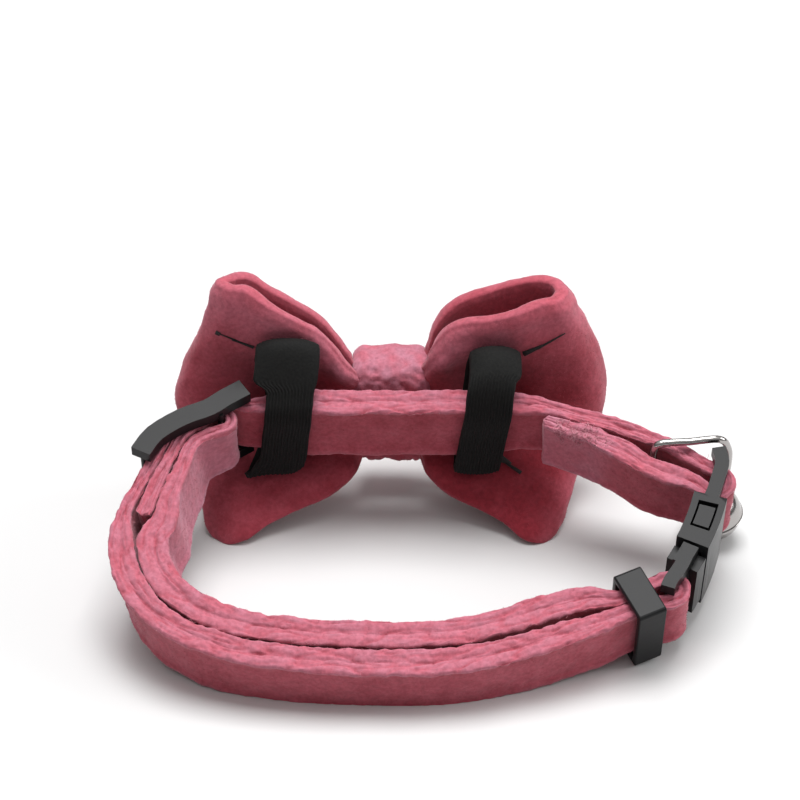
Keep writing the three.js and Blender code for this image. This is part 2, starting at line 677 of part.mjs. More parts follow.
const collar = new THREE.Group();
collar.add(loop);
collar.add(piece('bow', bowBody(), velvet));
collar.add(piece('bow_knot', knotBody(), velvet));
collar.add(piece('elastic_loop_left', elasticBody(elasticLeftX), webbing));
collar.add(piece('elastic_loop_right', elasticBody(elasticRightX), webbing));

// The bell's eye hangs on the ring's outer arm, just clear of the table
const bell = piece('bell', surface(bellBody()), nickel);
const hook = ringPoint(bellHook.reach * ringReach, bellHook.up * ringHalf);
const hookWorld = toWorld(hook.y + bellPlay, hook.z - bellPlay / 3);
const upright = new THREE.Vector3(0, 0, 1);
bell.quaternion.setFromUnitVectors(upright, bellLean);
bell.quaternion.multiply(new THREE.Quaternion().setFromAxisAngle(upright, THREE.MathUtils.degToRad(bellTurn)));
bell.position.set(hook.x, hookWorld.x, hookWorld.y).addScaledVector(bellLean, -eyeHeight);
collar.add(bell);

// Everything stands with the middle of its outline's box over the origin
collar.updateMatrixWorld(true);
const box = new THREE.Box3().setFromObject(collar, true);
collar.position.set(-(box.min.x + box.max.x) / 2, -(box.min.y + box.max.y) / 2, -box.min.z);

export default collar;
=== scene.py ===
import math
import random

import bmesh
import bpy
import numpy as np
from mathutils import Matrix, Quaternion, Vector, noise
from mathutils.bvhtree import BVHTree


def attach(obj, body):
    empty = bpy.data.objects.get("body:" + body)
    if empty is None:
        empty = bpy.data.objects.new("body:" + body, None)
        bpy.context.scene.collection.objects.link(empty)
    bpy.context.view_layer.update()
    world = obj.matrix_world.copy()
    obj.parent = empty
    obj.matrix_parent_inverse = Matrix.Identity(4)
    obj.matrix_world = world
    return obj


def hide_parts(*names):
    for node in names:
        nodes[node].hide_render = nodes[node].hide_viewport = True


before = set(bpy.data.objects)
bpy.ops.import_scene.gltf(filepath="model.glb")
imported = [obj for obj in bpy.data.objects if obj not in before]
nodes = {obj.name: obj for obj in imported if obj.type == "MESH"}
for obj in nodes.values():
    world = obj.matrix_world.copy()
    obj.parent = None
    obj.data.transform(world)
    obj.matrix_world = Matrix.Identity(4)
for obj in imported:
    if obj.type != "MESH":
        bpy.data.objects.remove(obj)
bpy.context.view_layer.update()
random.seed(7)
rng = np.random.default_rng(7)

# Sizes in millimetres, shared with the solids; SHIFT moves them to the row's origin
SHIFT = np.array([-1.0836, 2.8964, 0.0])
STRAP_W, STRAP_T, LAYER_GAP = 10.0, 4.2, 0.3
HALF_W, DEPTH = 46.0, 46.8
TILT = math.radians(18.5)
NEAR_LIFT, NEAR_Y = 4.2, -32.6
BOW_X, BOW_Y, BOW_Z = -5.4, 21.673, 16.4
BOW_HALF, BOW_RISE, BOW_DROP, BOW_DEPTH, BOW_WALL = 32.4, 20.6, 16.4, 10.0, 2.7
MM = 0.001
TINY = 1e-12
FLOOR_GAP = 0.02


def at(across, back):
    """A place in the loop from shares of its half width and depth."""
    return np.array([across * HALF_W, back * DEPTH])


def heading(degrees):
    """The unit direction at so many degrees from across towards the back."""
    a = math.radians(degrees)
    return np.array([math.cos(a), math.sin(a)])


def to_world(points):
    """Points (across, back, up) of the tilted loop, to millimetres in the upright frame."""
    p = np.asarray(points, float)
    c, s = math.cos(TILT), math.sin(TILT)
    return np.stack([
        p[..., 0],
        NEAR_Y + p[..., 1] * c - p[..., 2] * s,
        NEAR_LIFT + p[..., 1] * s + p[..., 2] * c,
    ], -1)


def catmull(points, parts, closed=False):
    """A centripetal Catmull-Rom line through the points; parts is a count or one per span."""
    p = np.asarray(points, float)
    n = len(p)
    spans = n if closed else n - 1
    counts = [parts] * spans if np.isscalar(parts) else list(parts)
    shortest = 1e-4

    def corner(i):
        if closed:
            return p[i % n]
        if i < 0:
            return 2 * p[0] - p[1]
        return p[i] if i < n else 2 * p[-1] - p[-2]

    out = []
    for i in range(spans):
        a, b, c, d = (corner(i + k) for k in (-1, 0, 1, 2))
        t0 = 0.0
        t1 = t0 + max(np.linalg.norm(b - a), shortest) ** 0.5
        t2 = t1 + max(np.linalg.norm(c - b), shortest) ** 0.5
        t3 = t2 + max(np.linalg.norm(d - c), shortest) ** 0.5
        for k in range(counts[i]):
            t = t1 + (t2 - t1) * k / counts[i]
            a1 = (t1 - t) / (t1 - t0) * a + (t - t0) / (t1 - t0) * b
            a2 = (t2 - t) / (t2 - t1) * b + (t - t1) / (t2 - t1) * c
            a3 = (t3 - t) / (t3 - t2) * c + (t - t2) / (t3 - t2) * d
            b1 = (t2 - t) / (t2 - t0) * a1 + (t - t0) / (t2 - t0) * a2
            b2 = (t3 - t) / (t3 - t1) * a2 + (t - t1) / (t3 - t1) * a3
            out.append((t2 - t) / (t2 - t1) * b1 + (t - t1) / (t2 - t1) * b2)
    if not closed:
        out.append(p[-1])
    return np.array(out)


def left_normals(line, closed=False):
    """The unit normal to the left of a flat line's direction, at each point."""
    if closed:
        along = np.roll(line, -1, 0) - np.roll(line, 1, 0)
    else:
        along = np.gradient(line, axis=0)
    along /= np.linalg.norm(along, axis=1)[:, None] + TINY
    return np.stack([-along[:, 1], along[:, 0]], 1)


def ease(x):
    """Climbs smoothly from 0 to 1."""
    x = np.clip(x, 0, 1)
    return x * x * (3 - 2 * x)


def hump(x, width):
    """A smooth rise to 1 at zero, about as wide as the width to each side."""
    return math.exp(-(x / width) ** 2)


def noise_of(x, y, z):
    return noise.noise(Vector((x, y, z)))


def noise_at(points, scale, seed):
    """Smooth noise from -1 to 1 at points in millimetres; scale is the size of a lump."""
    offset = Vector((seed * 13.1, seed * 7.7, seed * 3.3))
    return np.array([noise.noise(Vector(p) / scale + offset) for p in points])


def grid_faces(rows, columns, closed_rows):
    """Quads between rows of points, where each row closes on itself."""
    faces = []
    for i in range(rows if closed_rows else rows - 1):
        near, far = i * columns, (i + 1) % rows * columns
        for j in range(columns):
            k = (j + 1) % columns
            faces.append((near + j, near + k, far + k, far + j))
    return faces


def end_caps(rows, columns):
    """One face over the first row and one over the last."""
    return [tuple(range(columns)), tuple(range((rows - 1) * columns, rows * columns))]


def face_outwards(mesh):
    bm = bmesh.new()
    bm.from_mesh(mesh)
    bmesh.ops.recalc_face_normals(bm, faces=bm.faces)
    bm.to_mesh(mesh)
    bm.free()


def add_object(name, data):
    obj = bpy.data.objects.new(name, data)
    bpy.context.scene.collection.objects.link(obj)
    return obj


def shade_smooth(mesh):
    mesh.polygons.foreach_set("use_smooth", [True] * len(mesh.polygons))


def build(name, points, faces, material, smooth=True, recalc=True):
    """A mesh object from millimetre points of the upright frame."""
    mesh = bpy.data.meshes.new(name)
    moved = (np.asarray(points, float) + SHIFT) * MM
    mesh.from_pydata([tuple(p) for p in moved], [], [tuple(f) for f in faces])
    mesh.validate()
    if recalc:
        face_outwards(mesh)
    if smooth:
        shade_smooth(mesh)
    mesh.materials.append(material)
    mesh.update()
    return add_object(name, mesh)


def build_plain(name, points, faces):
    """A mesh object from points that stay as they are."""
    mesh = bpy.data.meshes.new(name)
    mesh.from_pydata(points, [], faces)
    face_outwards(mesh)
    return add_object(name, mesh)


def vertex_normals(obj):
    flat = np.zeros(len(obj.data.vertices) * 3)
    obj.data.vertex_normals.foreach_get("vector", flat)
    return flat.reshape(-1, 3)


def positions(obj):
    flat = np.zeros(len(obj.data.vertices) * 3)
    obj.data.vertices.foreach_get("co", flat)
    return flat.reshape(-1, 3)


def displace(obj, amounts):
    """Moves each vertex along its normal by so many millimetres."""
    co = positions(obj) + vertex_normals(obj) * (np.asarray(amounts) * MM)[:, None]
    obj.data.vertices.foreach_set("co", co.ravel())
    obj.data.update()


def keep_above_floor(obj):
    co = positions(obj)
    co[:, 2] = np.maximum(co[:, 2], FLOOR_GAP * MM)
    obj.data.vertices.foreach_set("co", co.ravel())
    obj.data.update()


def paint(obj, values):
    """Keeps how pale the velvet is at each vertex, for its colour: painted light and shade together with the
    cloth's own tone.
    """
    kept = obj.data.attributes.new("pale", "FLOAT", "POINT")
    kept.data.foreach_set("value", np.clip(np.asarray(values, float), 0, 1))


def painted_values(obj):
    out = np.zeros(len(obj.data.vertices))
    obj.data.attributes["pale"].data.foreach_get("value", out)
    return out


def pile(name, source, per_mm2, material):
    """Short fibres, each one thin triangle, scattered over a cloth's surface."""
    length, width, lean = 0.26, 0.05, 1.3
    mesh = source.data
    mesh.calc_loop_triangles()
    co = positions(source) / MM
    tris = np.array([t.vertices[:] for t in mesh.loop_triangles])
    a, b, c = co[tris[:, 0]], co[tris[:, 1]], co[tris[:, 2]]
    cross = np.cross(b - a, c - a)
    area = np.linalg.norm(cross, axis=1) / 2
    flat = cross / (2 * area[:, None] + TINY)
    count = int(area.sum() * per_mm2)
    pick = rng.choice(len(tris), count, p=area / area.sum())
    u, v = rng.random(count), rng.random(count)
    over = u + v > 1
    u[over], v[over] = 1 - u[over], 1 - v[over]
    root = a[pick] + (b - a)[pick] * u[:, None] + (c - a)[pick] * v[:, None]
    normal = flat[pick]
    wild = rng.normal(size=(count, 3))
    side = np.cross(normal, wild)
    side /= np.linalg.norm(side, axis=1)[:, None] + TINY
    direction = normal + np.cross(side, normal) * rng.uniform(0, lean, count)[:, None]
    direction /= np.linalg.norm(direction, axis=1)[:, None]
    size = length * rng.uniform(0.5, 1.25, count)[:, None]
    half = side * width / 2
    points = np.stack([root - half, root + half, root + direction * size], 1).reshape(-1, 3)
    faces = [(3 * i, 3 * i + 1, 3 * i + 2) for i in range(count)]
    points[:, 2] = np.maximum(points[:, 2], FLOOR_GAP / 2)
    fibres = build(name, points - SHIFT, faces, material, smooth=False, recalc=False)
    # the fibres take their cloth's painted light and shade
    paint(fibres, np.repeat(painted_values(source)[tris[pick, 0]], 3))
    return fibres


def tube(name, points, radius, material, sides, closed=False):
    """A round tube along the points; radius is one value or one for each point."""
    p = np.asarray(points, float)
    radii = np.broadcast_to(radius, len(p))
    n = len(p)
    along = np.roll(p, -1, 0) - np.roll(p, 1, 0) if closed else np.gradient(p, axis=0)
    along /= np.linalg.norm(along, axis=1)[:, None] + TINY
    slant = np.array([0.31, 0.17, 0.93])
    first = np.cross(along[0], slant)
    first /= np.linalg.norm(first)
    frames = []
    for i in range(n):
        first = first - along[i] * (first @ along[i])
        first /= np.linalg.norm(first)
        frames.append((first.copy(), np.cross(along[i], first)))
    out = []
    for i in range(n):
        for k in range(sides):
            t = 2 * math.pi * k / sides
            out.append(p[i] + radii[i] * (math.cos(t) * frames[i][0] + math.sin(t) * frames[i][1]))
    faces = grid_faces(n, sides, closed)
    if not closed:
        faces += end_caps(n, sides)
    return build(name, out, faces, material)


def join(name, objects):
    """One object of the first one's material in place of the objects."""
    mesh = bpy.data.meshes.new(name)
    bm = bmesh.new()
    for o in objects:
        bm.from_mesh(o.data)
    bm.to_mesh(mesh)
    bm.free()
    mesh.materials.append(objects[0].data.materials[0])
    for o in objects:
        old = o.data
        bpy.data.objects.remove(o)
        bpy.data.meshes.remove(old)
    return add_object(name, mesh)


# Materials

def shader(name):
    material = bpy.data.materials.new(name)
    material.use_nodes = True
    tree = material.node_tree
    return material, tree, tree.nodes["Principled BSDF"]


def noise_node(tree, scale, detail, rough):
    coords = tree.nodes.get("coords") or tree.nodes.new("ShaderNodeTexCoord")
    coords.name = "coords"
    node = tree.nodes.new("ShaderNodeTexNoise")
    node.inputs["Scale"].default_value = scale
    node.inputs["Detail"].default_value = detail
    node.inputs["Roughness"].default_value = rough
    tree.links.new(coords.outputs["Object"], node.inputs["Vector"])
    return node


def ramp(tree, source, stops):
    node = tree.nodes.new("ShaderNodeValToRGB")
    elements = node.color_ramp.elements
    while len(elements) < len(stops):
        elements.new(0.5)
    for element, (place, color) in zip(elements, stops):
        element.position = place
        element.color = (*color, 1)
    tree.links.new(source, node.inputs["Fac"])
    return node


def bump(tree, height, strength, distance, before=None):
    node = tree.nodes.new("ShaderNodeBump")
    node.inputs["Strength"].default_value = strength
    node.inputs["Distance"].default_value = distance
    tree.links.new(height, node.inputs["Height"])
    if before is not None:
        tree.links.new(before.outputs["Normal"], node.inputs["Normal"])
    return node


def spread_node(tree, source, low, high):
    """Spreads a value from 0 to 1 between low and high."""
    node = tree.nodes.new("ShaderNodeMapRange")
    node.inputs["To Min"].default_value = low
    node.inputs["To Max"].default_value = high
    tree.links.new(source, node.inputs["Value"])
    return node


def velvet_material(name, tones, sheen):
    """Velvet; the painted value "pale" runs through the tones, from painted shade to painted light."""
    material, tree, bsdf = shader(name)
    coarse = noise_node(tree, 230, 3, 0.6)
    fine = noise_node(tree, 1500, 2, 0.6)
    painted = tree.nodes.new("ShaderNodeAttribute")
    painted.attribute_name = "pale"
    blotch = spread_node(tree, coarse.outputs["Fac"], -0.2, 0.2)
    total_tone = tree.nodes.new("ShaderNodeMath")
    total_tone.operation = "ADD"
    tree.links.new(painted.outputs["Fac"], total_tone.inputs[0])
    tree.links.new(blotch.outputs["Result"], total_tone.inputs[1])
    colour = ramp(tree, total_tone.outputs["Value"], list(zip((0.0, 0.35, 0.68, 1.0), tones)))
    spots = ramp(tree, fine.outputs["Fac"], [(0.34, (0.84, 0.82, 0.82)), (0.66, (1.1, 1.1, 1.1))])
    mix = tree.nodes.new("ShaderNodeMix")
    mix.data_type = "RGBA"
    mix.blend_type = "MULTIPLY"
    mix.inputs["Factor"].default_value = 1
    tree.links.new(colour.outputs["Color"], mix.inputs["A"])
    tree.links.new(spots.outputs["Color"], mix.inputs["B"])
    tree.links.new(mix.outputs["Result"], bsdf.inputs["Base Color"])
    bsdf.inputs["Roughness"].default_value = 0.95
    bsdf.inputs["Specular IOR Level"].default_value = 0.08
    bsdf.inputs["Sheen Weight"].default_value = sheen
    bsdf.inputs["Sheen Roughness"].default_value = 0.5
    bsdf.inputs["Sheen Tint"].default_value = (1.0, 0.76, 0.84, 1)
    nap = noise_node(tree, 700, 3, 0.6)
    first = bump(tree, nap.outputs["Fac"], 0.35, 0.25 * MM)
    second = bump(tree, fine.outputs["Fac"], 0.22, 0.1 * MM, first)
    tree.links.new(second.outputs["Normal"], bsdf.inputs["Normal"])
    return material


def elastic_material():
    material, tree, bsdf = shader("elastic_ribs")
    weave = noise_node(tree, 2600, 2, 0.6)
    low, high = (0.0015, 0.0015, 0.0015), (0.0055, 0.0055, 0.005)
    colour = ramp(tree, weave.outputs["Fac"], [(0.3, low), (0.7, high)])
    tree.links.new(colour.outputs["Color"], bsdf.inputs["Base Color"])
    bsdf.inputs["Roughness"].default_value = 0.8
    bsdf.inputs["Specular IOR Level"].default_value = 0.22
    relief = bump(tree, weave.outputs["Fac"], 0.6, 0.12 * MM)
    tree.links.new(relief.outputs["Normal"], bsdf.inputs["Normal"])
    return material


def plastic_material():
    material, tree, bsdf = shader("moulded_plastic")
    grain = noise_node(tree, 1400, 2, 0.5)
    patches = noise_node(tree, 180, 2, 0.5)
    low, high = (0.007, 0.007, 0.0075), (0.013, 0.013, 0.0135)
    colour = ramp(tree, patches.outputs["Fac"], [(0.3, low), (0.7, high)])
    tree.links.new(colour.outputs["Color"], bsdf.inputs["Base Color"])
    wear = spread_node(tree, patches.outputs["Fac"], 0.26, 0.38)
    tree.links.new(wear.outputs["Result"], bsdf.inputs["Roughness"])
    bsdf.inputs["Specular IOR Level"].default_value = 0.13
    relief = bump(tree, grain.outputs["Fac"], 0.12, 0.08 * MM)
    tree.links.new(relief.outputs["Normal"], bsdf.inputs["Normal"])
    return material


def metal_material():
    material, tree, bsdf = shader("nickel_plate")
    bsdf.inputs["Base Color"].default_value = (0.42, 0.4, 0.39, 1)
    bsdf.inputs["Metallic"].default_value = 1
    smear = noise_node(tree, 420, 3, 0.6)
    wear = spread_node(tree, smear.outputs["Fac"], 0.1, 0.24)
    tree.links.new(wear.outputs["Result"], bsdf.inputs["Roughness"])
    return material


def thread_material(name, low, high):
    material, tree, bsdf = shader(name)
    twist = noise_node(tree, 3000, 1, 0.5)
    colour = ramp(tree, twist.outputs["Fac"], [(0.3, low), (0.7, high)])
    tree.links.new(colour.outputs["Color"], bsdf.inputs["Base Color"])
    bsdf.inputs["Roughness"].default_value = 0.8
    return material


# Tones of the cloth and of its raised pile, from painted shade to painted light
CLOTH_TONES = [(0.24, 0.024, 0.036), (0.385, 0.073, 0.1), (0.42, 0.112, 0.152), (0.42, 0.165, 0.22)]
PILE_TONES = [(0.26, 0.028, 0.042), (0.41, 0.08, 0.11), (0.46, 0.135, 0.175), (0.48, 0.2, 0.26)]
velvet = velvet_material("rose_velvet", CLOTH_TONES, 0.3)
fluff = velvet_material("rose_pile", PILE_TONES, 0.4)
elastic = elastic_material()
plastic = plastic_material()
nickel = metal_material()
black_thread = thread_material("black_thread", (0.004, 0.003, 0.003), (0.02, 0.016, 0.017))
pink_thread = thread_material("pale_thread", (0.42, 0.14, 0.18), (0.58, 0.27, 0.32))

# The strap: one run from its sewn end to its tail

# The bars that it turns round, and its thickness there as a share of the full one
FEMALE_BAR, MALE_BAR, SLIDER_BAR = at(0.933, 0.675), at(0.764, 0.268), at(-0.678, 0.923)
BAR_R, SLIDER_BAR_R = 0.6, 0.45
FOLD, SLIDER_FOLD = 0.52, 0.4
FOLD_R = BAR_R + LAYER_GAP + FOLD * STRAP_T / 2
SLIDER_FOLD_R = SLIDER_BAR_R + LAYER_GAP + SLIDER_FOLD * STRAP_T / 2

# The outer layer, row by row: across, back, thick, second, third, wedge, part. Across and back
# are shares of the loop's half width and depth; thick, second and third are the shares of the
# strap's thickness that the layers have; wedge is the free space between the first two.
OUTER = [
    (0.9, 0.75, 0.52, 0.7, 0, 0.2, "right"),
    (0.828, 0.806, 0.58, 0.85, 0, 0.36, "right"),
    (0.765, 0.842, 0.58, 0.74, 0, 0.46, "right"),
    (0.69, 0.878, 0.6, 0.8, 0, 0.22, "right"),
    (0.576, 0.922, 0.62, 0.72, 0, 0, "right"),
    (0.485, 0.951, 0.6, 0.58, 0, 0, "right"),
    (0.4, 0.976, 0.58, 0.46, 0, 0, "right"),
    (0.29, 0.997, 0.9, 0, 0, 0, "far"),
    (0.09, 1, 1, 0, 0, 0, "far"),
    (-0.13, 1, 1, 0, 0, 0, "far"),
    (-0.37, 1, 1, 0, 0, 0, "far"),
    (-0.49, 0.998, 0.8, 0, 0, 0, "far"),
    (-0.6, 0.986, 0.42, 0, 0, 0, "far"),
    (-0.665, 1, 0.4, 0, 0, 0, "far"),
    (-0.735, 0.982, 0.4, 0, 0, 0, "far"),
    (-0.832, 0.895, 0.4, 0.42, 0.46, 0, "left"),
    (-0.893, 0.765, 0.4, 0.44, 0.56, 0, "left"),
    (-0.937, 0.66, 0.46, 0.5, 0.68, 0, "left"),
    (-0.975, 0.56, 0.54, 0.58, 0.88, 0, "left"),
    (-0.982, 0.46, 0.82, 1.04, 0, 0.14, "near"),
    (-0.963, 0.35, 0.94, 1.06, 0, 0.02, "near"),
    (-0.915, 0.25, 0.96, 1.05, 0, 0, "near"),
    (-0.84, 0.165, 0.92, 1.05, 0, 0.04, "near"),
    (-0.73, 0.096, 0.92, 1.05, 0, 0.03, "near"),
    (-0.6, 0.048, 0.95, 1.03, 0, 0.02, "near"),
    (-0.4, 0.014, 1, 1, 0, 0.04, "near"),
    (-0.2, 0.002, 1, 1, 0, 0.06, "near"),
    (-0.03, 0, 1, 1, 0, 0.08, "near"),
    (0.12, 0.014, 0.98, 1, 0, 0.1, "near"),
    (0.26, 0.048, 0.94, 1, 0, 0.14, "near"),
    (0.41, 0.098, 0.9, 0.98, 0, 0.2, "near"),
    (0.53, 0.143, 0.8, 0.88, 0, 0.16, "near"),
    (0.615, 0.178, 0.6, 0.62, 0, 0.02, "near"),
    (0.678, 0.207, 0.55, 0.55, 0, 0, "near"),
]
outer_line = np.array([at(across, back) for across, back, *_ in OUTER])
outwards = -left_normals(outer_line)
# The spacing of the strap's sections
STEP = 0.42


def layer(i, inside):
    """The middle of the first or second layer inside an outer row, with its thickness."""
    _, _, thick, second, third, wedge, _ = OUTER[i]
    shift = (thick + second) * STRAP_T / 2 + wedge * STRAP_T + LAYER_GAP
    if inside == 2:
        shift += (second + third) * STRAP_T / 2 + LAYER_GAP
    place = outer_line[i] - outwards[i] * shift
    return [*place, second if inside == 1 else third]


def rows_of(part):
    return [i for i, row in enumerate(OUTER) if row[-1] == part]


def fold(centre, radius, start, end, thick):
    """A turn round a bar, from one direction to another in degrees."""
    parts = 6
    spokes = [heading(start + (end - start) * k / parts) for k in range(parts + 1)]
    return [[*(centre + radius * spoke), thick] for spoke in spokes]


runs = [
    ("sewn", [layer(i, 1) for i in reversed(rows_of("right"))]),
    ("female", fold(FEMALE_BAR, FOLD_R, -128, 52, FOLD)),
    ("outer", [[*outer_line[i], row[2]] for i, row in enumerate(OUTER)]),
    ("male", fold(MALE_BAR, FOLD_R, -66, 114, FOLD)),
    ("near", [layer(i, 1) for i in reversed(rows_of("near"))]),
    ("left", [layer(i, 2) for i in reversed(rows_of("left"))]),
    ("slider", fold(SLIDER_BAR, SLIDER_FOLD_R, -46, 134, SLIDER_FOLD)),
    ("tail", [layer(i, 1) for i in rows_of("left")]),
]
stations = np.array([station for _, run in runs for station in run])
run_of = [name for name, run in runs for _ in run]
spans = np.linalg.norm(np.diff(stations[:, :2], axis=0), axis=1)
parts = [max(2, int(round(span / STEP))) for span in spans]
strap_line = catmull(stations, parts)
sample_run = [run_of[i] for i, n in enumerate(parts) for _ in range(n)] + [run_of[-1]]
strap_normals = left_normals(strap_line[:, :2])
gaps = np.linalg.norm(np.diff(strap_line[:, :2], axis=0), axis=1)
arc = np.concatenate([[0], np.cumsum(gaps)])
strap_length = arc[-1]

# Half of the section: out, up. A flat upper edge with lips that overhang the sunken faces.
SECTION_HALF = [
    (0.0, 0.93), (0.12, 0.95), (0.3, 0.98), (0.5, 1.0), (0.7, 1.0), (0.88, 0.99), (1.0, 0.96), (1.05, 0.91),
    (1.03, 0.86), (0.95, 0.82), (0.89, 0.75), (0.87, 0.4), (0.87, 0.0), (0.87, -0.4), (0.9, -0.66),
    (0.99, -0.76), (1.01, -0.88), (0.9, -0.98), (0.62, -1.0), (0.3, -0.96),
]
SECTION = SECTION_HALF + [(0.0, -0.92)] + [(-x, y) for x, y in SECTION_HALF[:0:-1]]
section = catmull(SECTION[::-1], 2, closed=True)
# Millimetres: the rounding of the cut ends, the length of the pale patch at the sewn end, how far
# the lower edge is pressed up behind the bow, and how far the left inner face leans
END_ROUND, SEWN_PATCH, FAR_RISE, LEFT_LEAN = 0.5, 15, 1.5, 1.7


def end_pinch(s):
    """The share of the thickness that is left where a cut end rounds off."""
    end = min(s, strap_length - s)
    return math.sqrt(max(0.0, 1 - max(0.0, 1 - end / END_ROUND) ** 2)) * 0.75 + 0.25


def behind_bow(x, back, run):
    """1 on the single layer behind the bow, whose lower edge is pressed up, and 0 elsewhere."""
    if back > 0.9 * DEPTH and run == "outer":
        return ease((20 - abs(x + 5)) / 6)
    return 0


def long_crease(s, out):
    """The depth of the long creases that run along the upper edge."""
    wide = noise_of(s / 7.0, out * 1.5, 3.3)
    narrow = noise_of(s / 4.0, out * 2.6, 7.1)
    return 0.26 * hump(wide, 0.08) + 0.17 * hump(narrow, 0.09)


def strap_tone(x, back, s, out, up, crease):
    """How pale the velvet is: painted light on the upper edge and on the left inner face, painted shade in
    the creases along the upper edge, a little paler on the lower edge and paler at the sewn end.
    """
    edge = ease((up - 0.8) / 0.08)
    lower = ease((-up - 0.7) / 0.2)
    sewn = ease((SEWN_PATCH - s) / 6) * (1 - 0.7 * edge)
    lit_left_inner = ease((-x - 19) / 10) * ease((back - 8) / 12) * (1 - edge) * ease(0.5 + out)
    # painted light on the upper edge and the left inner face, painted shade in the creases along the upper
    # edge
    tone = 0.29 + 0.5 * edge - 0.75 * crease * edge + 0.12 * lower + 0.42 * sewn + 0.55 * lit_left_inner
    return tone + 0.1 * noise_of(s / 2.2, out * 2, up * 3)


def strap_ring(i):
    """One section of the strap: its points in the tilted loop's frame, and their tones."""
    x, back, thick = strap_line[i]
    s = arc[i]
    pinch = end_pinch(s)
    right_lip = 0.5 * noise_of(s / 4.1, 1.7, 0.3) + 0.28 * noise_of(s / 1.6, 5.2, 0.3)
    left_lip = 0.5 * noise_of(s / 4.6, 9.1, 4.3) + 0.28 * noise_of(s / 1.5, 3.2, 7.3)
    wander = 0.08 * noise_of(s / 7.0, 2.2, 8.8)
    far = behind_bow(x, back, sample_run[i])
    # on the left the lower edge stands further in, so that the inner face turns up
    lean = ease((-x - 24) / 12) * ease((back - 1) / 16) * ease((0.95 * DEPTH - back) / 9)
    points, tones = [], []
    for out, up in section:
        top = ease((up - 0.3) / 0.7)
        low = ease((-up - 0.3) / 0.7)
        wave = right_lip if out > 0 else left_lip
        shift = -(out * pinch + wander * (1 - abs(out))) * thick * STRAP_T / 2
        if abs(out) > 0.9:
            shift += 0.2 * noise_of(s / 1.3, out * 3 + 4, up * 2) * top
        crease = long_crease(s, out)
        height = up * STRAP_W / 2 * (0.97 + 0.03 * pinch) + 0.5 * wave * top - 0.2 * wave * low
        height -= crease * top * (1 if up > 0.9 else 0.3)
        height -= FAR_RISE * far * low
        px = x + strap_normals[i, 0] * shift + LEFT_LEAN * lean * (0.5 - 0.5 * up)
        py = back + strap_normals[i, 1] * shift
        table = -(NEAR_LIFT + py * math.sin(TILT)) / math.cos(TILT)
        points.append((px, py, max(height, table)))
        tones.append(strap_tone(x, back, s, out, up, crease))
    return points, tones


strap_points, strap_tones = [], []
for i in range(len(strap_line)):
    ring_points, ring_tones = strap_ring(i)
    strap_points += ring_points
    strap_tones += ring_tones
strap_points = to_world(strap_points)
rings, around = len(strap_line), len(section)
strap_faces = grid_faces(rings, around, False) + end_caps(rings, around)
strap = build("strap_velvet", strap_points, strap_faces, velvet)
lumps = noise_at(strap_points, 5.0, 1) * 0.16 + noise_at(strap_points, 1.6, 2) * 0.13
lumps += noise_at(strap_points, 0.7, 3) * 0.08
displace(strap, lumps)
paint(strap, strap_tones)
keep_above_floor(strap)

# The bow: one padded band pinched in the middle

# reach, rise, drop, wall, back, front: a row for each share of a wing's length. Rise and drop
# are shares of the bow's, and back and front are the panels' places at the top, the middle
# and the bottom, as shares of its depth.
BOW_ROWS = [
    (0, 0.26, 0.42, 0.66, (-0.11, -0.11, -0.11), (0.11, 0.11, 0.11)),
    (0.17, 0.27, 0.43, 0.7, (-0.12, -0.12, -0.12), (0.12, 0.12, 0.12)),
    (0.215, 0.42, 0.5, 0.8, (-0.24, -0.3, -0.42), (0.14, 0.2, 0.06)),
    (0.26, 0.6, 0.58, 0.9, (-0.3, -0.3, -0.6), (0.16, 0.3, 0.0)),
    (0.33, 0.73, 0.65, 0.98, (-0.32, -0.22, -0.8), (0.2, 0.42, -0.06)),
    (0.43, 0.81, 0.71, 1, (-0.38, -0.17, -0.98), (0.24, 0.52, -0.2)),
    (0.57, 0.87, 0.765, 1, (-0.5, -0.17, -1.14), (0.27, 0.56, -0.4)),
    (0.72, 0.94, 0.84, 1, (-0.58, -0.18, -1.32), (0.24, 0.54, -0.66)),
    (0.86, 1, 0.94, 1, (-0.5, -0.2, -1.54), (0.16, 0.44, -0.92)),
]
# level, left, right: shares of the half width at the wings' ends
WING_END = [
    (-1, 0.83, 0.765), (-0.8, 0.865, 0.815), (-0.55, 0.91, 0.885), (-0.2, 0.985, 0.98), (0.1, 1, 1),
    (0.4, 0.935, 0.96), (0.7, 0.845, 0.885), (1, 0.785, 0.805),
]
end_curve = catmull(WING_END, 12)
# On the left the upper edge climbs in a straighter line: reach, share of the bow's rise
LEFT_RISE = [
    (0.215, 0.3), (0.26, 0.4), (0.33, 0.54), (0.43, 0.71), (0.57, 0.86), (0.72, 1.0), (0.86, 1.12), (1, 1.12),
]
left_reach, left_rise = zip(*LEFT_RISE)
# How far the panels stand apart on each side, and the reach that the knot covers
LEFT_MOUTH, RIGHT_MOUTH = 0.56, 1.05
UNDER_KNOT = 0.18


def panel_offset(ends, level):
    """A panel's place at a level from -1 at the bottom to 1 at the top."""
    top, middle, bottom = ends
    goal = top if level > 0 else bottom
    bend = level * level * (1.6 - 0.6 * abs(level))
    return BOW_DEPTH * (middle + (goal - middle) * bend)


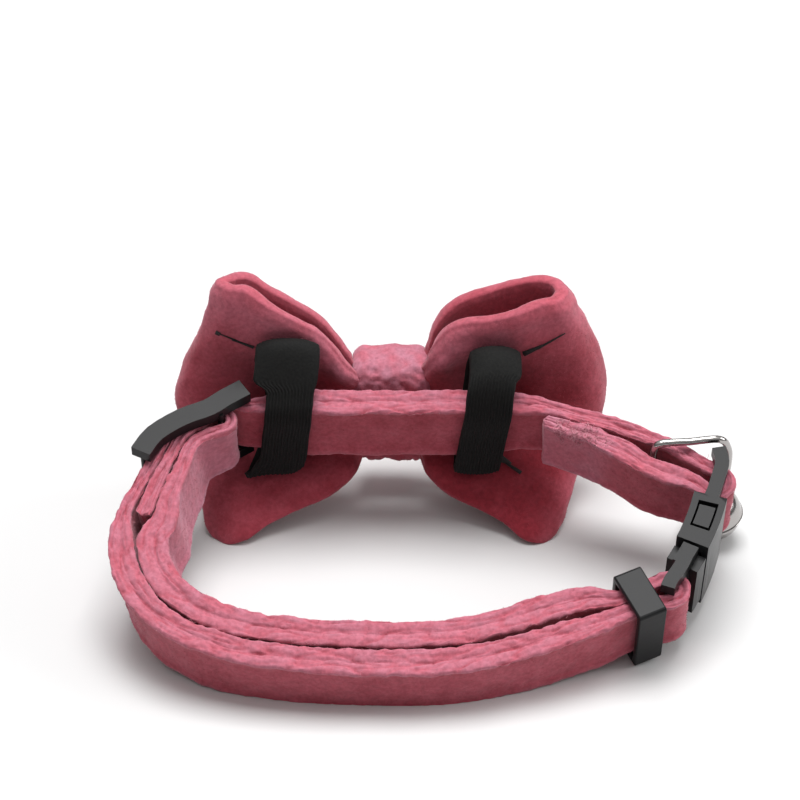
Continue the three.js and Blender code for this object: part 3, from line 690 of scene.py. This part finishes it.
def wing(side, level):
    """One wing's back panel, end turn and front panel at a level, each point with its wall,
    reach and face: x, depth, height, wall, reach, face."""
    end = BOW_HALF * np.interp(level, end_curve[:, 0], end_curve[:, 1 if side < 0 else 2])
    mouth = LEFT_MOUTH if side < 0 else RIGHT_MOUTH
    rows = []
    for reach, rise, drop, wall, back, front in BOW_ROWS:
        if side < 0 and reach > UNDER_KNOT:
            rise = np.interp(reach, left_reach, left_rise)
        height = level * BOW_RISE * rise if level > 0 else level * BOW_DROP * drop
        b = panel_offset(back, level)
        f = b + (panel_offset(front, level) - b) * (mouth if reach > UNDER_KNOT else 1)
        rows.append((reach * end, height, b, f, wall * BOW_WALL, reach))
    tip_x, tip_height, tip_back, tip_front, tip_wall, _ = rows[-1]
    middle, half = (tip_back + tip_front) / 2, (tip_front - tip_back) / 2
    backs = [(side * x, b, height, wall, reach, -1) for x, height, b, f, wall, reach in rows]
    fronts = [(side * x, f, height, wall, reach, 1) for x, height, b, f, wall, reach in rows][::-1]
    turn = []
    for degrees in (-50, 0, 50):
        a = math.radians(degrees)
        x = tip_x + (end - tip_x) * math.cos(a)
        height = tip_height if level > 0 else level * BOW_DROP
        turn.append((side * x, middle + half * math.sin(a), height, tip_wall, 1.0, math.sin(a)))
    return backs, turn, fronts


def bow_loop(level):
    right_backs, right_turn, right_fronts = wing(1, level)
    left_backs, left_turn, left_fronts = wing(-1, level)
    right = [*right_backs, *right_turn, *right_fronts]
    left = [*left_fronts[::-1][1:], *left_turn[::-1], *left_backs[::-1][:-1]]
    return np.array(right + left, float)


# The levels stand closer together towards the hems
LEVEL_COUNT = 47
even = np.linspace(-1, 1, LEVEL_COUNT)
levels = np.sin(np.linspace(-math.pi / 2, math.pi / 2, LEVEL_COUNT)) * 0.35 + even * 0.65
# The hems' rise at the top and the bottom, and their width as a share of the wall
HEM_TOP, HEM_BOTTOM, HEM_WIDTH = 0.55, 0.3, 0.86


def bow_relief(spot, side, level, reach, face):
    """How far the cloth stands out in millimetres, with its roll and valley."""
    gather = hump(reach - 0.27, 0.12) * 0.26 * math.sin(level * 9.5 + 1.3 * side)
    # the edges roll out towards both faces, most of all next to the pinch
    near_pinch = hump(reach - 0.32, 0.2)
    roll = (0.35 + 1.25 * near_pinch) * hump(abs(level) - 0.8, 0.17)
    roll *= ease((reach - 0.18) / 0.1) * (1 if face < 0 else 0.35)
    valley = hump(level - 0.12, 0.3) * hump(reach - 0.55, 0.17) if face < 0 else 0
    across, height = spot
    swell = 0.35 * noise_of(across / 9, height / 9, face * 2 + side)
    swell += 0.16 * noise_of(across / 3.5, height / 3.5, face * 2 + 4 * side)
    relief = gather + roll - valley + swell * ease((reach - 0.24) / 0.2)
    return relief * ease((reach - 0.16) / 0.06), roll, valley


def bow_tone(side, level, reach, roll, valley):
    """How pale the velvet is: painted light at the top and on the rolled upper edges, painted shade in the
    valley and over the lower part, most on the right wing, and paler in the middle under the knot.
    """
    high, shade = (0.3, 0.1) if side < 0 else (0.2, 0.36)
    # painted light at the top and on the rolled edges, painted shade in the valley and low down
    tone = 0.26 + high * ease((level - 0.45) / 0.5) - 0.3 * valley + 0.2 * roll * (level > 0)
    tone -= shade * ease((0.3 - level) / 0.6) * ease((1.05 - reach) / 0.3)
    return tone + 0.25 * ease((0.16 - reach) / 0.03)


def bow_mesh():
    """The band's outer and inner faces, joined by a half-round hem at the top and the bottom."""
    shells = []
    for level in levels:
        line = catmull(bow_loop(level), 8, closed=True)
        along = np.roll(line, -1, 0) - np.roll(line, 1, 0)
        away = np.stack([along[:, 1], -along[:, 0]], 1)
        away /= np.linalg.norm(away, axis=1)[:, None]
        shells.append((line, away))
    tones = []

    def place(k, i, shift, lift=0.0):
        line, away = shells[k]
        across, depth, height, _, reach, face = line[i]
        side = -1 if across < 0 else 1
        relief, roll, valley = bow_relief((across, height), side, levels[k], reach, face)
        x = BOW_X + across + away[i][0] * (shift + relief)
        y = BOW_Y + depth + away[i][1] * (shift + relief)
        tone = bow_tone(side, levels[k], reach, roll, valley) + 0.12 * noise_of(x / 4, y / 4, height / 4)
        # painted shade on the inside of the band
        tones.append(tone - (0.12 if shift < 0.5 else 0))
        return (x, y, BOW_Z + height + lift)

    def thin_out(edge):
        return 1 - 0.25 * math.exp(-edge / 0.02)

    rows = []
    last = LEVEL_COUNT - 1
    count = len(shells[0][0])
    for i in range(count):
        half = shells[0][0][i][3] / 2
        row = []
        for k in range(LEVEL_COUNT):
            edge = 1 - abs(levels[k])
            seam = 0.16 * hump(edge - 0.07, 0.05) - 0.12 * hump(edge - 0.16, 0.05)
            row.append(place(k, i, half * thin_out(edge) + seam))
        for degrees in (60, 30, 0, -30, -60):
            a = math.radians(degrees)
            row.append(place(last, i, half * HEM_WIDTH * math.sin(a), HEM_TOP * math.cos(a)))
        for k in reversed(range(LEVEL_COUNT)):
            row.append(place(k, i, -half * thin_out(1 - abs(levels[k]))))
        for degrees in (-60, -30, 0, 30, 60):
            a = math.radians(degrees)
            row.append(place(0, i, half * HEM_WIDTH * math.sin(a), -HEM_BOTTOM * math.cos(a)))
        rows.append(row)
    return np.array(rows).reshape(-1, 3), grid_faces(count, len(rows[0]), True), tones


bow_points, bow_faces, bow_tones = bow_mesh()
bow = build("bow_velvet", bow_points, bow_faces, velvet)
paint(bow, bow_tones)
displace(bow, noise_at(bow_points, 1.9, 5) * 0.1 + noise_at(bow_points, 0.8, 6) * 0.05)
keep_above_floor(bow)

# The knot: a wrap round the bow's middle, crumpled where it turns over the top

def rounded_section(half, rise, drop, radius, wall):
    """Inner and outer points round a rounded rectangle, and the directions outwards."""
    spacing = 0.6
    corners = []
    for side, end, start in ((1, 1, 0), (-1, 1, 90), (-1, -1, 180), (1, -1, 270)):
        middle = (side * (half - radius), rise - radius if end > 0 else radius - drop)
        corners += [[*middle, *heading(start + turn)] for turn in range(0, 91, 10)]
    line = np.array(corners)
    dense = []
    for a, b in zip(line, np.roll(line, -1, 0)):
        count = max(1, int(np.linalg.norm((b - a)[:2]) / spacing))
        dense += [a + (b - a) * k / count for k in range(count)]
    dense = np.array(dense)
    places, ways = dense[:, :2], dense[:, 2:]
    return places + ways * radius, places + ways * (radius + wall), ways


KNOT_W, KNOT_GAP, KNOT_ROUND, KNOT_WALL = 12.0, 0.3, 0.3, 2.3
knot_half = BOW_DEPTH * 0.12 + 0.7 * BOW_WALL / 2 + KNOT_GAP
knot_rise, knot_drop = BOW_RISE * 0.27 + KNOT_GAP, BOW_DROP * 0.43 + KNOT_GAP
inner, outer, spokes = rounded_section(knot_half, knot_rise, knot_drop, KNOT_ROUND, KNOT_WALL)


def knot_crease(i, u):
    """How far the wrap's outside stands out at a share u of its width."""
    turn = i / len(inner)
    round_x, round_y = math.cos(2 * math.pi * turn), math.sin(2 * math.pi * turn)
    crease = 0.22 * noise_of(u * 7, round_x * 1.2, round_y * 1.2)
    pleat = math.sin(u * 17 + 2.2 * math.sin(6.3 * turn))
    crease += 0.14 * pleat * (0.5 + 0.5 * math.cos(4 * math.pi * turn))
    spot = Vector((u * 8, outer[i][0] / 1.5, outer[i][1] / 1.5))
    crumple = 0.38 * noise.noise(spot) - 0.36 * hump(noise.noise(spot * 0.7), 0.1)
    return crease + ease((0.6 - outer[i][0]) / 1.8) * crumple


knot_rows = []
for i in range(len(inner)):
    row = []
    for u in np.linspace(-0.5, 0.5, 37):
        swell = 1 - 0.14 * abs(2 * u) ** 7
        back, up = outer[i] * swell + spokes[i] * knot_crease(i, u)
        row.append((BOW_X + u * KNOT_W, BOW_Y + back, BOW_Z + up))
    for u in (0.485, 0.25, 0.0, -0.25, -0.485):
        row.append((BOW_X + u * KNOT_W, BOW_Y + inner[i][0], BOW_Z + inner[i][1]))
    knot_rows.append(row)
knot_points = np.array(knot_rows).reshape(-1, 3)
knot_faces = grid_faces(len(knot_rows), len(knot_rows[0]), True)
knot = build("bow_knot_velvet", knot_points, knot_faces, velvet)
displace(knot, noise_at(knot_points, 1.3, 8) * 0.1)
# painted light over the knot, with painted shade on its lower part
knot_shade = np.clip((BOW_Z + 3 - knot_points[:, 2]) / 7, 0, 1)
paint(knot, 0.86 + 0.3 * noise_at(knot_points, 1.6, 4) - 0.5 * knot_shade)

# The elastic loops, with ribs along the band

ELASTIC_GAP, ELASTIC_T, ELASTIC_W, ELASTIC_RIBS = 0.35, 1.2, 7.2, 15
# How far a loop rises over the strap, bulges behind it and hangs below it
LOOP_RISE, LOOP_BULGE, LOOP_DROP = 6.6, 2.6, 3.6


def strap_corner(out, up):
    """A corner of the strap behind the bow, as depth and height in the upright frame."""
    back = DEPTH + out * (STRAP_T / 2 + ELASTIC_GAP)
    _, depth, height = to_world([0.0, back, up * STRAP_W / 2])
    return np.array([depth, height])


def elastic_line(crest, top):
    """The loop's inside, round the strap and against the bow."""
    front_low, front_high = strap_corner(-1, -1), strap_corner(-1, 1)
    back_low, back_high = strap_corner(1, -1), strap_corner(1, 1)
    inside = [
        front_low + (0.2, -0.38 * LOOP_DROP),
        front_low + (front_high - front_low) * 0.4,
        front_high,
        front_high + (0.4 * LOOP_BULGE, 0.72 * LOOP_RISE * crest),
        back_high + (0.25 * LOOP_BULGE, 0.84 * LOOP_RISE * top),
        back_high + (LOOP_BULGE, 0.35 * LOOP_RISE),
        back_high + (back_low - back_high) * 0.45 + (0.3 * LOOP_BULGE, 0),
        back_low + (0.03 * LOOP_BULGE, 0.1 * LOOP_DROP),
        back_low + (-0.28 * LOOP_DROP, -0.85 * LOOP_DROP),
        front_low + (0.3 * LOOP_DROP, -LOOP_DROP),
    ]
    return catmull(inside, 12, closed=True)


def outward_normals(line):
    normals = -left_normals(line, closed=True)
    after = np.roll(line, -1, 0)
    area = np.sum(line[:, 0] * after[:, 1] - after[:, 0] * line[:, 1])
    return normals if area > 0 else -normals


def elastic_loop(name, centre_x, seed, crest, top, spread, aside, corners, tail):
    """A ribbed band. Crest and top shape its rise, spread widens it where it lies against the
    bow, aside moves it there, and corners and tail pull its lower end out of line."""
    line = elastic_line(crest, top)
    normals = outward_normals(line)
    lowest, highest = line[:, 1].min() - ELASTIC_T, line[:, 1].max() + ELASTIC_T
    lie_start = strap_corner(-1, 1)[0] + 1.3
    stops = np.linspace(-0.5, 0.5, 121)
    rows = []
    for i, place in enumerate(line):
        level = (place[1] - lowest) / (highest - lowest)
        behind = ease((place[0] - lie_start) / 0.9) * ease((level - 0.5) / 0.3)
        wide = ELASTIC_W * (1 + spread * behind)
        drift = 0.14 * noise_of(i / 9, seed, 0) + (level - 0.5) * 2.6 + aside * behind
        high, low = ease((level - 0.72) / 0.25), ease((0.2 - level) / 0.2)
        row = []
        for u in [*stops, *stops[::-4]]:
            edge = 1 - abs(2 * u)
            outside = len(row) < len(stops)
            rib = 0.07 * math.cos(2 * math.pi * ELASTIC_RIBS * u + 0.9 * noise_of(i / 6, u * 4, seed))
            rib *= 1 - behind
            thick = (ELASTIC_T - 0.1) * math.sqrt(max(0.0, min(1, edge / 0.06 + 0.25)))
            thick += rib * min(1, edge / 0.08)
            depth, height = place + normals[i] * (thick if outside else 0.03)
            bend = abs(2 * u) ** 2.6
            lift = low * bend * (corners[0] if u < 0 else corners[1]) - 1.3 * high * bend
            swing = tail * low * min(u, 0)
            x = centre_x + u * wide * (1 if outside else 0.985) + drift + swing
            row.append((x, depth, height + lift))
        rows.append(row)
    faces = grid_faces(len(rows), len(rows[0]), True)
    return build(name, np.array(rows).reshape(-1, 3), faces, elastic)


elastic_left = elastic_loop("elastic_left_ribbed", -21.2, 3.0, 0.5, 1.3, 0.36, -1.0, (-1.0, 2.2), 4.0)
elastic_right = elastic_loop("elastic_right_ribbed", 9.0, 8.0, 1.0, 1.05, 0.1, 0.3, (0.7, 1.0), 0.0)

# The ring: its flat side stands between the two layers, its bow reaches outwards

ring_foot, ring_way = at(0.744, 0.8), heading(6)
RING_REACH, RING_HALF, RING_WIRE = 11.6, 6.3, 1.15
# reach, up: shares of the ring's reach and half height
RING_CORNERS = [
    (0, 0.86), (0, 0), (0, -0.86), (0.05, -1), (0.45, -1), (0.86, -0.97), (0.97, -0.6), (1, 0),
    (0.97, 0.6), (0.86, 0.97), (0.45, 1), (0.05, 1),
]


def ring_point(reach, up):
    """A point of the ring's plane in the tilted loop's frame."""
    return np.array([*(ring_foot + ring_way * reach * RING_REACH), up * RING_HALF])


ring_line = catmull([ring_point(reach, up) for reach, up in RING_CORNERS], 16, closed=True)
ring = tube("d_ring_wire", to_world(ring_line), RING_WIRE / 2, nickel, sides=18, closed=True)

# The bell: a hollow ball with a seam round its middle, a slot below and an eye on the ring

BELL_R, BELL_WALL, EYE_R, EYE_WIRE, PLAY = 4.5, 0.5, 1.4, 0.7, 0.2
MOUTH_ANGLE, POLE_ANGLE = -80, 89.6
EYE_HEIGHT = BELL_R + EYE_R - EYE_WIRE / 4
lean = Vector((-0.08, -0.21, 0.975)).normalized()
BELL_TURN = math.radians(-84)
hook = ring_point(0.835, -0.98) + np.array([0, PLAY, -PLAY / 3])
bell_place = to_world(hook) - np.array(lean) * EYE_HEIGHT


def bell_profile():
    """Radius and height round the wall, with the seam's ridges on the outside."""
    rim = []
    for a in np.radians(np.linspace(MOUTH_ANGLE, POLE_ANGLE, 60)):
        r, z = BELL_R * math.cos(a), BELL_R * math.sin(a)
        seam = 0.26 * hump(z, 0.2) + 0.1 * hump(abs(z) - 0.6, 0.12)
        rim.append((r + seam * (r / BELL_R), z))
    inside = BELL_R - BELL_WALL
    angles = np.radians(np.linspace(POLE_ANGLE, MOUTH_ANGLE, 30))
    return rim + [(inside * math.cos(a), inside * math.sin(a)) for a in angles]


def lathe(profile, segments):
    points = []
    for k in range(segments):
        a = 2 * math.pi * k / segments
        points += [(r * math.cos(a), r * math.sin(a), z) for r, z in profile]
    return points, grid_faces(segments, len(profile), True)


def prism(flat, low, high):
    n = len(flat)
    points = [(x, y, low) for x, y in flat] + [(x, y, high) for x, y in flat]
    faces = [tuple(range(n)), tuple(range(n, 2 * n))]
    faces += [(i, (i + 1) % n, n + (i + 1) % n, n + i) for i in range(n)]
    return points, faces


def carve(target, cutter):
    """The target with the cutter taken away."""
    cut = target.modifiers.new("cut", "BOOLEAN")
    cut.operation = "DIFFERENCE"
    cut.solver = "EXACT"
    cut.object = cutter
    bpy.context.view_layer.update()
    graph = bpy.context.evaluated_depsgraph_get()
    mesh = bpy.data.meshes.new_from_object(target.evaluated_get(graph))
    target.modifiers.clear()
    target.data = mesh
    bpy.data.objects.remove(cutter)
    return target


def slotted_shell():
    """The ball with its slot: a narrow bar that ends in a round hole on each side."""
    half_length, half_width, hole = BELL_R * 0.86, 0.55, 0.85
    below, bar_top, hole_top = -BELL_R * 1.5, -BELL_R * 0.42, -BELL_R * 0.3
    bar = [(-half_length, -half_width), (half_length, -half_width), (half_length, half_width),
           (-half_length, half_width)]
    ball = build_plain("bell_shell", *lathe(bell_profile(), 72))
    ball = carve(ball, build_plain("slot_bar", *prism(bar, below, bar_top)))
    for side in (-1, 1):
        middle = side * BELL_R * 0.88
        turns = [math.radians(a) for a in range(0, 360, 20)]
        circle = [(middle + hole * math.cos(a), hole * math.sin(a)) for a in turns]
        ball = carve(ball, build_plain("slot_end", *prism(circle, below, hole_top)))
    return ball


shell = slotted_shell()
turn = Vector((0, 0, 1)).rotation_difference(lean) @ Quaternion((0, 0, 1), BELL_TURN)
spin = np.array(turn.to_matrix())
shell_points = np.array([v.co[:] for v in shell.data.vertices]) @ spin.T + bell_place
shell_faces = [tuple(p.vertices) for p in shell.data.polygons]
bpy.data.objects.remove(shell)
bell_ball = build("bell_ball", shell_points, shell_faces, nickel, recalc=False)
eye_turns = np.linspace(0, 2 * math.pi, 40, endpoint=False)
eye_line = np.array([(EYE_R * math.cos(a), 0.0, EYE_HEIGHT + EYE_R * math.sin(a)) for a in eye_turns])
bell_eye = tube("bell_eye", eye_line @ spin.T + bell_place, EYE_WIRE / 2, nickel, sides=12, closed=True)
bell = join("bell_nickel", [bell_ball, bell_eye])
shade_smooth(bell.data)
split = bell.modifiers.new("edges", "EDGE_SPLIT")
split.split_angle = math.radians(40)

# Plastic parts keep their solids, with softened edges: the width of each one's rounding
SOFT_EDGES = {"slider": 0.3, "keeper_loop": 0.4, "buckle_female": 0.3, "buckle_male": 0.3}
for name, width in SOFT_EDGES.items():
    node = nodes[name]
    node.data.materials.clear()
    node.data.materials.append(plastic)
    weld = node.modifiers.new("weld", "WELD")
    weld.merge_threshold = 0.004 * MM
    soft = node.modifiers.new("soft_edges", "BEVEL")
    soft.width = width * MM
    soft.segments = 3
    soft.limit_method = "ANGLE"
    soft.angle_limit = math.radians(38)
    soft.harden_normals = False

# The photograph's camera: its place in millimetres before the shift, and its focal length
# in pixels of the 800 by 800 picture
PHOTO_SIZE, FOCAL = 800, 2925
ELEVATION = math.radians(34)
SENSOR = 36
eye_place = (np.array([-4.0458, -358.8229, 272.7544]) + SHIFT) * MM
camera_data = bpy.data.cameras.new("photo_camera")
camera_data.sensor_width = SENSOR
camera_data.lens = SENSOR * FOCAL / PHOTO_SIZE
camera_data.clip_start, camera_data.clip_end = 0.01, 20
camera = add_object("photo_camera", camera_data)
camera.location = eye_place
camera.rotation_euler = (math.pi / 2 - ELEVATION, 0, 0)
bpy.context.scene.camera = camera


def photo_ray(u, v):
    """The direction from the camera through a pixel of the photograph."""
    forward = Vector((0, math.cos(ELEVATION), -math.sin(ELEVATION)))
    upward = Vector((0, math.sin(ELEVATION), math.cos(ELEVATION)))
    middle = PHOTO_SIZE / 2
    return (forward + Vector((1, 0, 0)) * (u - middle) / FOCAL - upward * (v - middle) / FOCAL).normalized()


def surface_tree(obj):
    return BVHTree.FromObject(obj, bpy.context.evaluated_depsgraph_get())


def on_surface(tree, pixels, lifts):
    """Points under the pixels, raised from the surface by so many millimetres, before the shift."""
    out = []
    for (u, v), lift in zip(pixels, lifts):
        ray = photo_ray(u, v)
        hit, normal, _, _ = tree.ray_cast(Vector(eye_place), ray)
        if hit is not None:
            if normal.dot(ray) > 0:
                normal = -normal
            out.append(np.array(hit) / MM - SHIFT + np.array(normal) * lift)
    return np.array(out)


bpy.context.view_layer.update()
bow_tree, strap_tree = surface_tree(bow), surface_tree(strap)

# Black stitches that fix the elastic to the bow's back: start, end, and the radius at each
STITCHES = [
    ((216, 332), (220, 334), 0.34, 0.3),
    ((218, 333), (236, 340), 0.1, 0.13),
    ((232, 339), (243, 343), 0.2, 0.13),
    ((240, 342), (254, 347), 0.16, 0.26),
    ((524, 353), (543, 345), 0.5, 0.2),
    ((538, 348), (565, 333), 0.22, 0.09),
    ((498, 457), (511, 464), 0.7, 0.24),
    ((506, 463), (521, 473), 0.2, 0.32),
    ((258, 469), (246, 476), 0.8, 0.5),
]
STITCH_POINTS, STITCH_LIFT = 9, 0.1
strokes = []
for i, (start, end, first, last) in enumerate(STITCHES):
    shares = np.linspace(0, 1, STITCH_POINTS)
    pixels = [np.array(start) + (np.array(end) - np.array(start)) * t for t in shares]
    points = on_surface(bow_tree, pixels, [STITCH_LIFT] * STITCH_POINTS)
    if len(points) == STITCH_POINTS:
        radii = np.interp(shares, [0, 1], [first, last])
        strokes.append(tube(f"stitch_{i}", points, radii, black_thread, sides=7))
stitches = join("bow_stitches", strokes)

# Curled loose threads along the upper edge beside the sewn end: pixels along and across it
CURL_COUNT, CURL_MIDDLE, CURL_SPREAD, CURL_START, CURL_SCATTER = 90, 580, 14, 556, 4.5
EDGE_START, EDGE_SLOPE = (545, 423), 0.27
# A thread's step in pixels, and the widest gap in millimetres before it has left the strap
CURL_STEP, LONGEST_GAP = 0.9, 0.8


def curled_path(u, v):
    """A short path of pixels that keeps turning one way."""
    way, curl = random.uniform(0, 2 * math.pi), random.uniform(-0.5, 0.5)
    path = []
    for _ in range(random.randint(8, 16)):
        path.append((u, v))
        way += curl + random.uniform(-0.35, 0.35)
        u, v = u + CURL_STEP * math.cos(way), v + CURL_STEP * math.sin(way)
    return path


threads = []
for i in range(CURL_COUNT):
    u = max(random.gauss(CURL_MIDDLE, CURL_SPREAD), CURL_START)
    v = EDGE_START[1] + (u - EDGE_START[0]) * EDGE_SLOPE + random.gauss(0, CURL_SCATTER)
    path = curled_path(u, v)
    lift = random.uniform(0.12, 0.4)
    arch = [lift * math.sin(math.pi * k / (len(path) - 1)) for k in range(len(path))]
    points = on_surface(strap_tree, path, arch)
    if len(points) > 5 and np.linalg.norm(np.diff(points, axis=0), axis=1).max() < LONGEST_GAP:
        threads.append(tube(f"thread_{i}", points, random.uniform(0.024, 0.04), pink_thread, sides=5))

# Short wisps along the strap's edges, at these points of its section
WISP_POINTS = [10, 11, 12, 13, 14, 15, 16, 64, 66, 68]
WISP_COUNT, WISP_RADIUS, WISP_LOWEST = 120, 0.028, 0.05
for i in range(WISP_COUNT):
    ring_index = random.randrange(rings)
    base = strap_points[ring_index * around + random.choice(WISP_POINTS)]
    way = np.array([random.uniform(-1, 1), random.uniform(-1, 0.3), random.uniform(0.0, 0.6)])
    way /= np.linalg.norm(way)
    bend = np.array([random.uniform(-0.6, 0.6) for _ in range(3)])
    size = random.uniform(0.3, 0.8)
    line = np.array([base + way * size * t + bend * size * t * t for t in np.linspace(0, 1, 5)])
    line[:, 2] = np.maximum(line[:, 2], WISP_LOWEST)
    threads.append(tube(f"wisp_{i}", line, WISP_RADIUS, pink_thread, sides=4))
fringe = join("strap_threads", threads)

# Fibres for each square millimetre
strap_pile = pile("strap_pile", strap, 4.6, fluff)
bow_pile = pile("bow_pile", bow, 4.0, fluff)
knot_pile = pile("bow_knot_pile", knot, 4.4, fluff)

stands_for = {
    "strap": strap, "bow": bow, "bow_knot": knot, "elastic_loop_left": elastic_left,
    "elastic_loop_right": elastic_right, "d_ring": ring, "bell": bell,
}
slots = {
    "velvet": [strap, bow, knot, strap_pile, bow_pile, knot_pile, fringe],
    "elastic": [elastic_left, elastic_right, stitches],
    "nickel": [ring, bell],
}
for cad, piece in stands_for.items():
    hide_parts(cad)
for slot, pieces in slots.items():
    for piece in pieces:
        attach(piece, "root")

# Floor and light

FLOOR_HALF = 3
floor_material, _, floor_shader = shader("pale_floor")
floor_shader.inputs["Base Color"].default_value = (0.6, 0.6, 0.6, 1)
floor_shader.inputs["Roughness"].default_value = 0.9
floor_corners = [(x * FLOOR_HALF, y * FLOOR_HALF, 0) for x, y in ((-1, -1), (1, -1), (1, 1), (-1, 1))]
floor = build_plain("floor", floor_corners, [(0, 1, 2, 3)])
floor.data.materials.append(floor_material)

# The room is dim near the floor and brighter overhead
world = bpy.data.worlds.new("studio")
world.use_nodes = True
sky = world.node_tree
sky_coords = sky.nodes.new("ShaderNodeTexCoord")
sky_split = sky.nodes.new("ShaderNodeSeparateXYZ")
sky.links.new(sky_coords.outputs["Generated"], sky_split.inputs["Vector"])
sky_tones = [(0.0, (0.1, 0.1, 0.1)), (0.3, (0.22, 0.22, 0.22)), (0.9, (0.8, 0.8, 0.8))]
sky_ramp = ramp(sky, sky_split.outputs["Z"], sky_tones)
sky.links.new(sky_ramp.outputs["Color"], sky.nodes["Background"].inputs["Color"])
sky.nodes["Background"].inputs["Strength"].default_value = 1.0
bpy.context.scene.world = world


def softbox(name, place, size, energy):
    """A square light that points at the collar's middle."""
    data = bpy.data.lights.new(name, "AREA")
    data.shape = "SQUARE"
    data.size = size
    data.energy = energy
    light = add_object(name, data)
    light.location = place
    way = Vector((0, 0.01, 0.015)) - Vector(place)
    light.rotation_euler = way.to_track_quat("-Z", "Y").to_euler()


softbox("top", (0.02, 0.1, 0.8), 0.5, 8.0)
softbox("right", (0.7, 0.02, 0.4), 0.4, 2.4)
bpy.context.scene.view_settings.view_transform = "Standard"
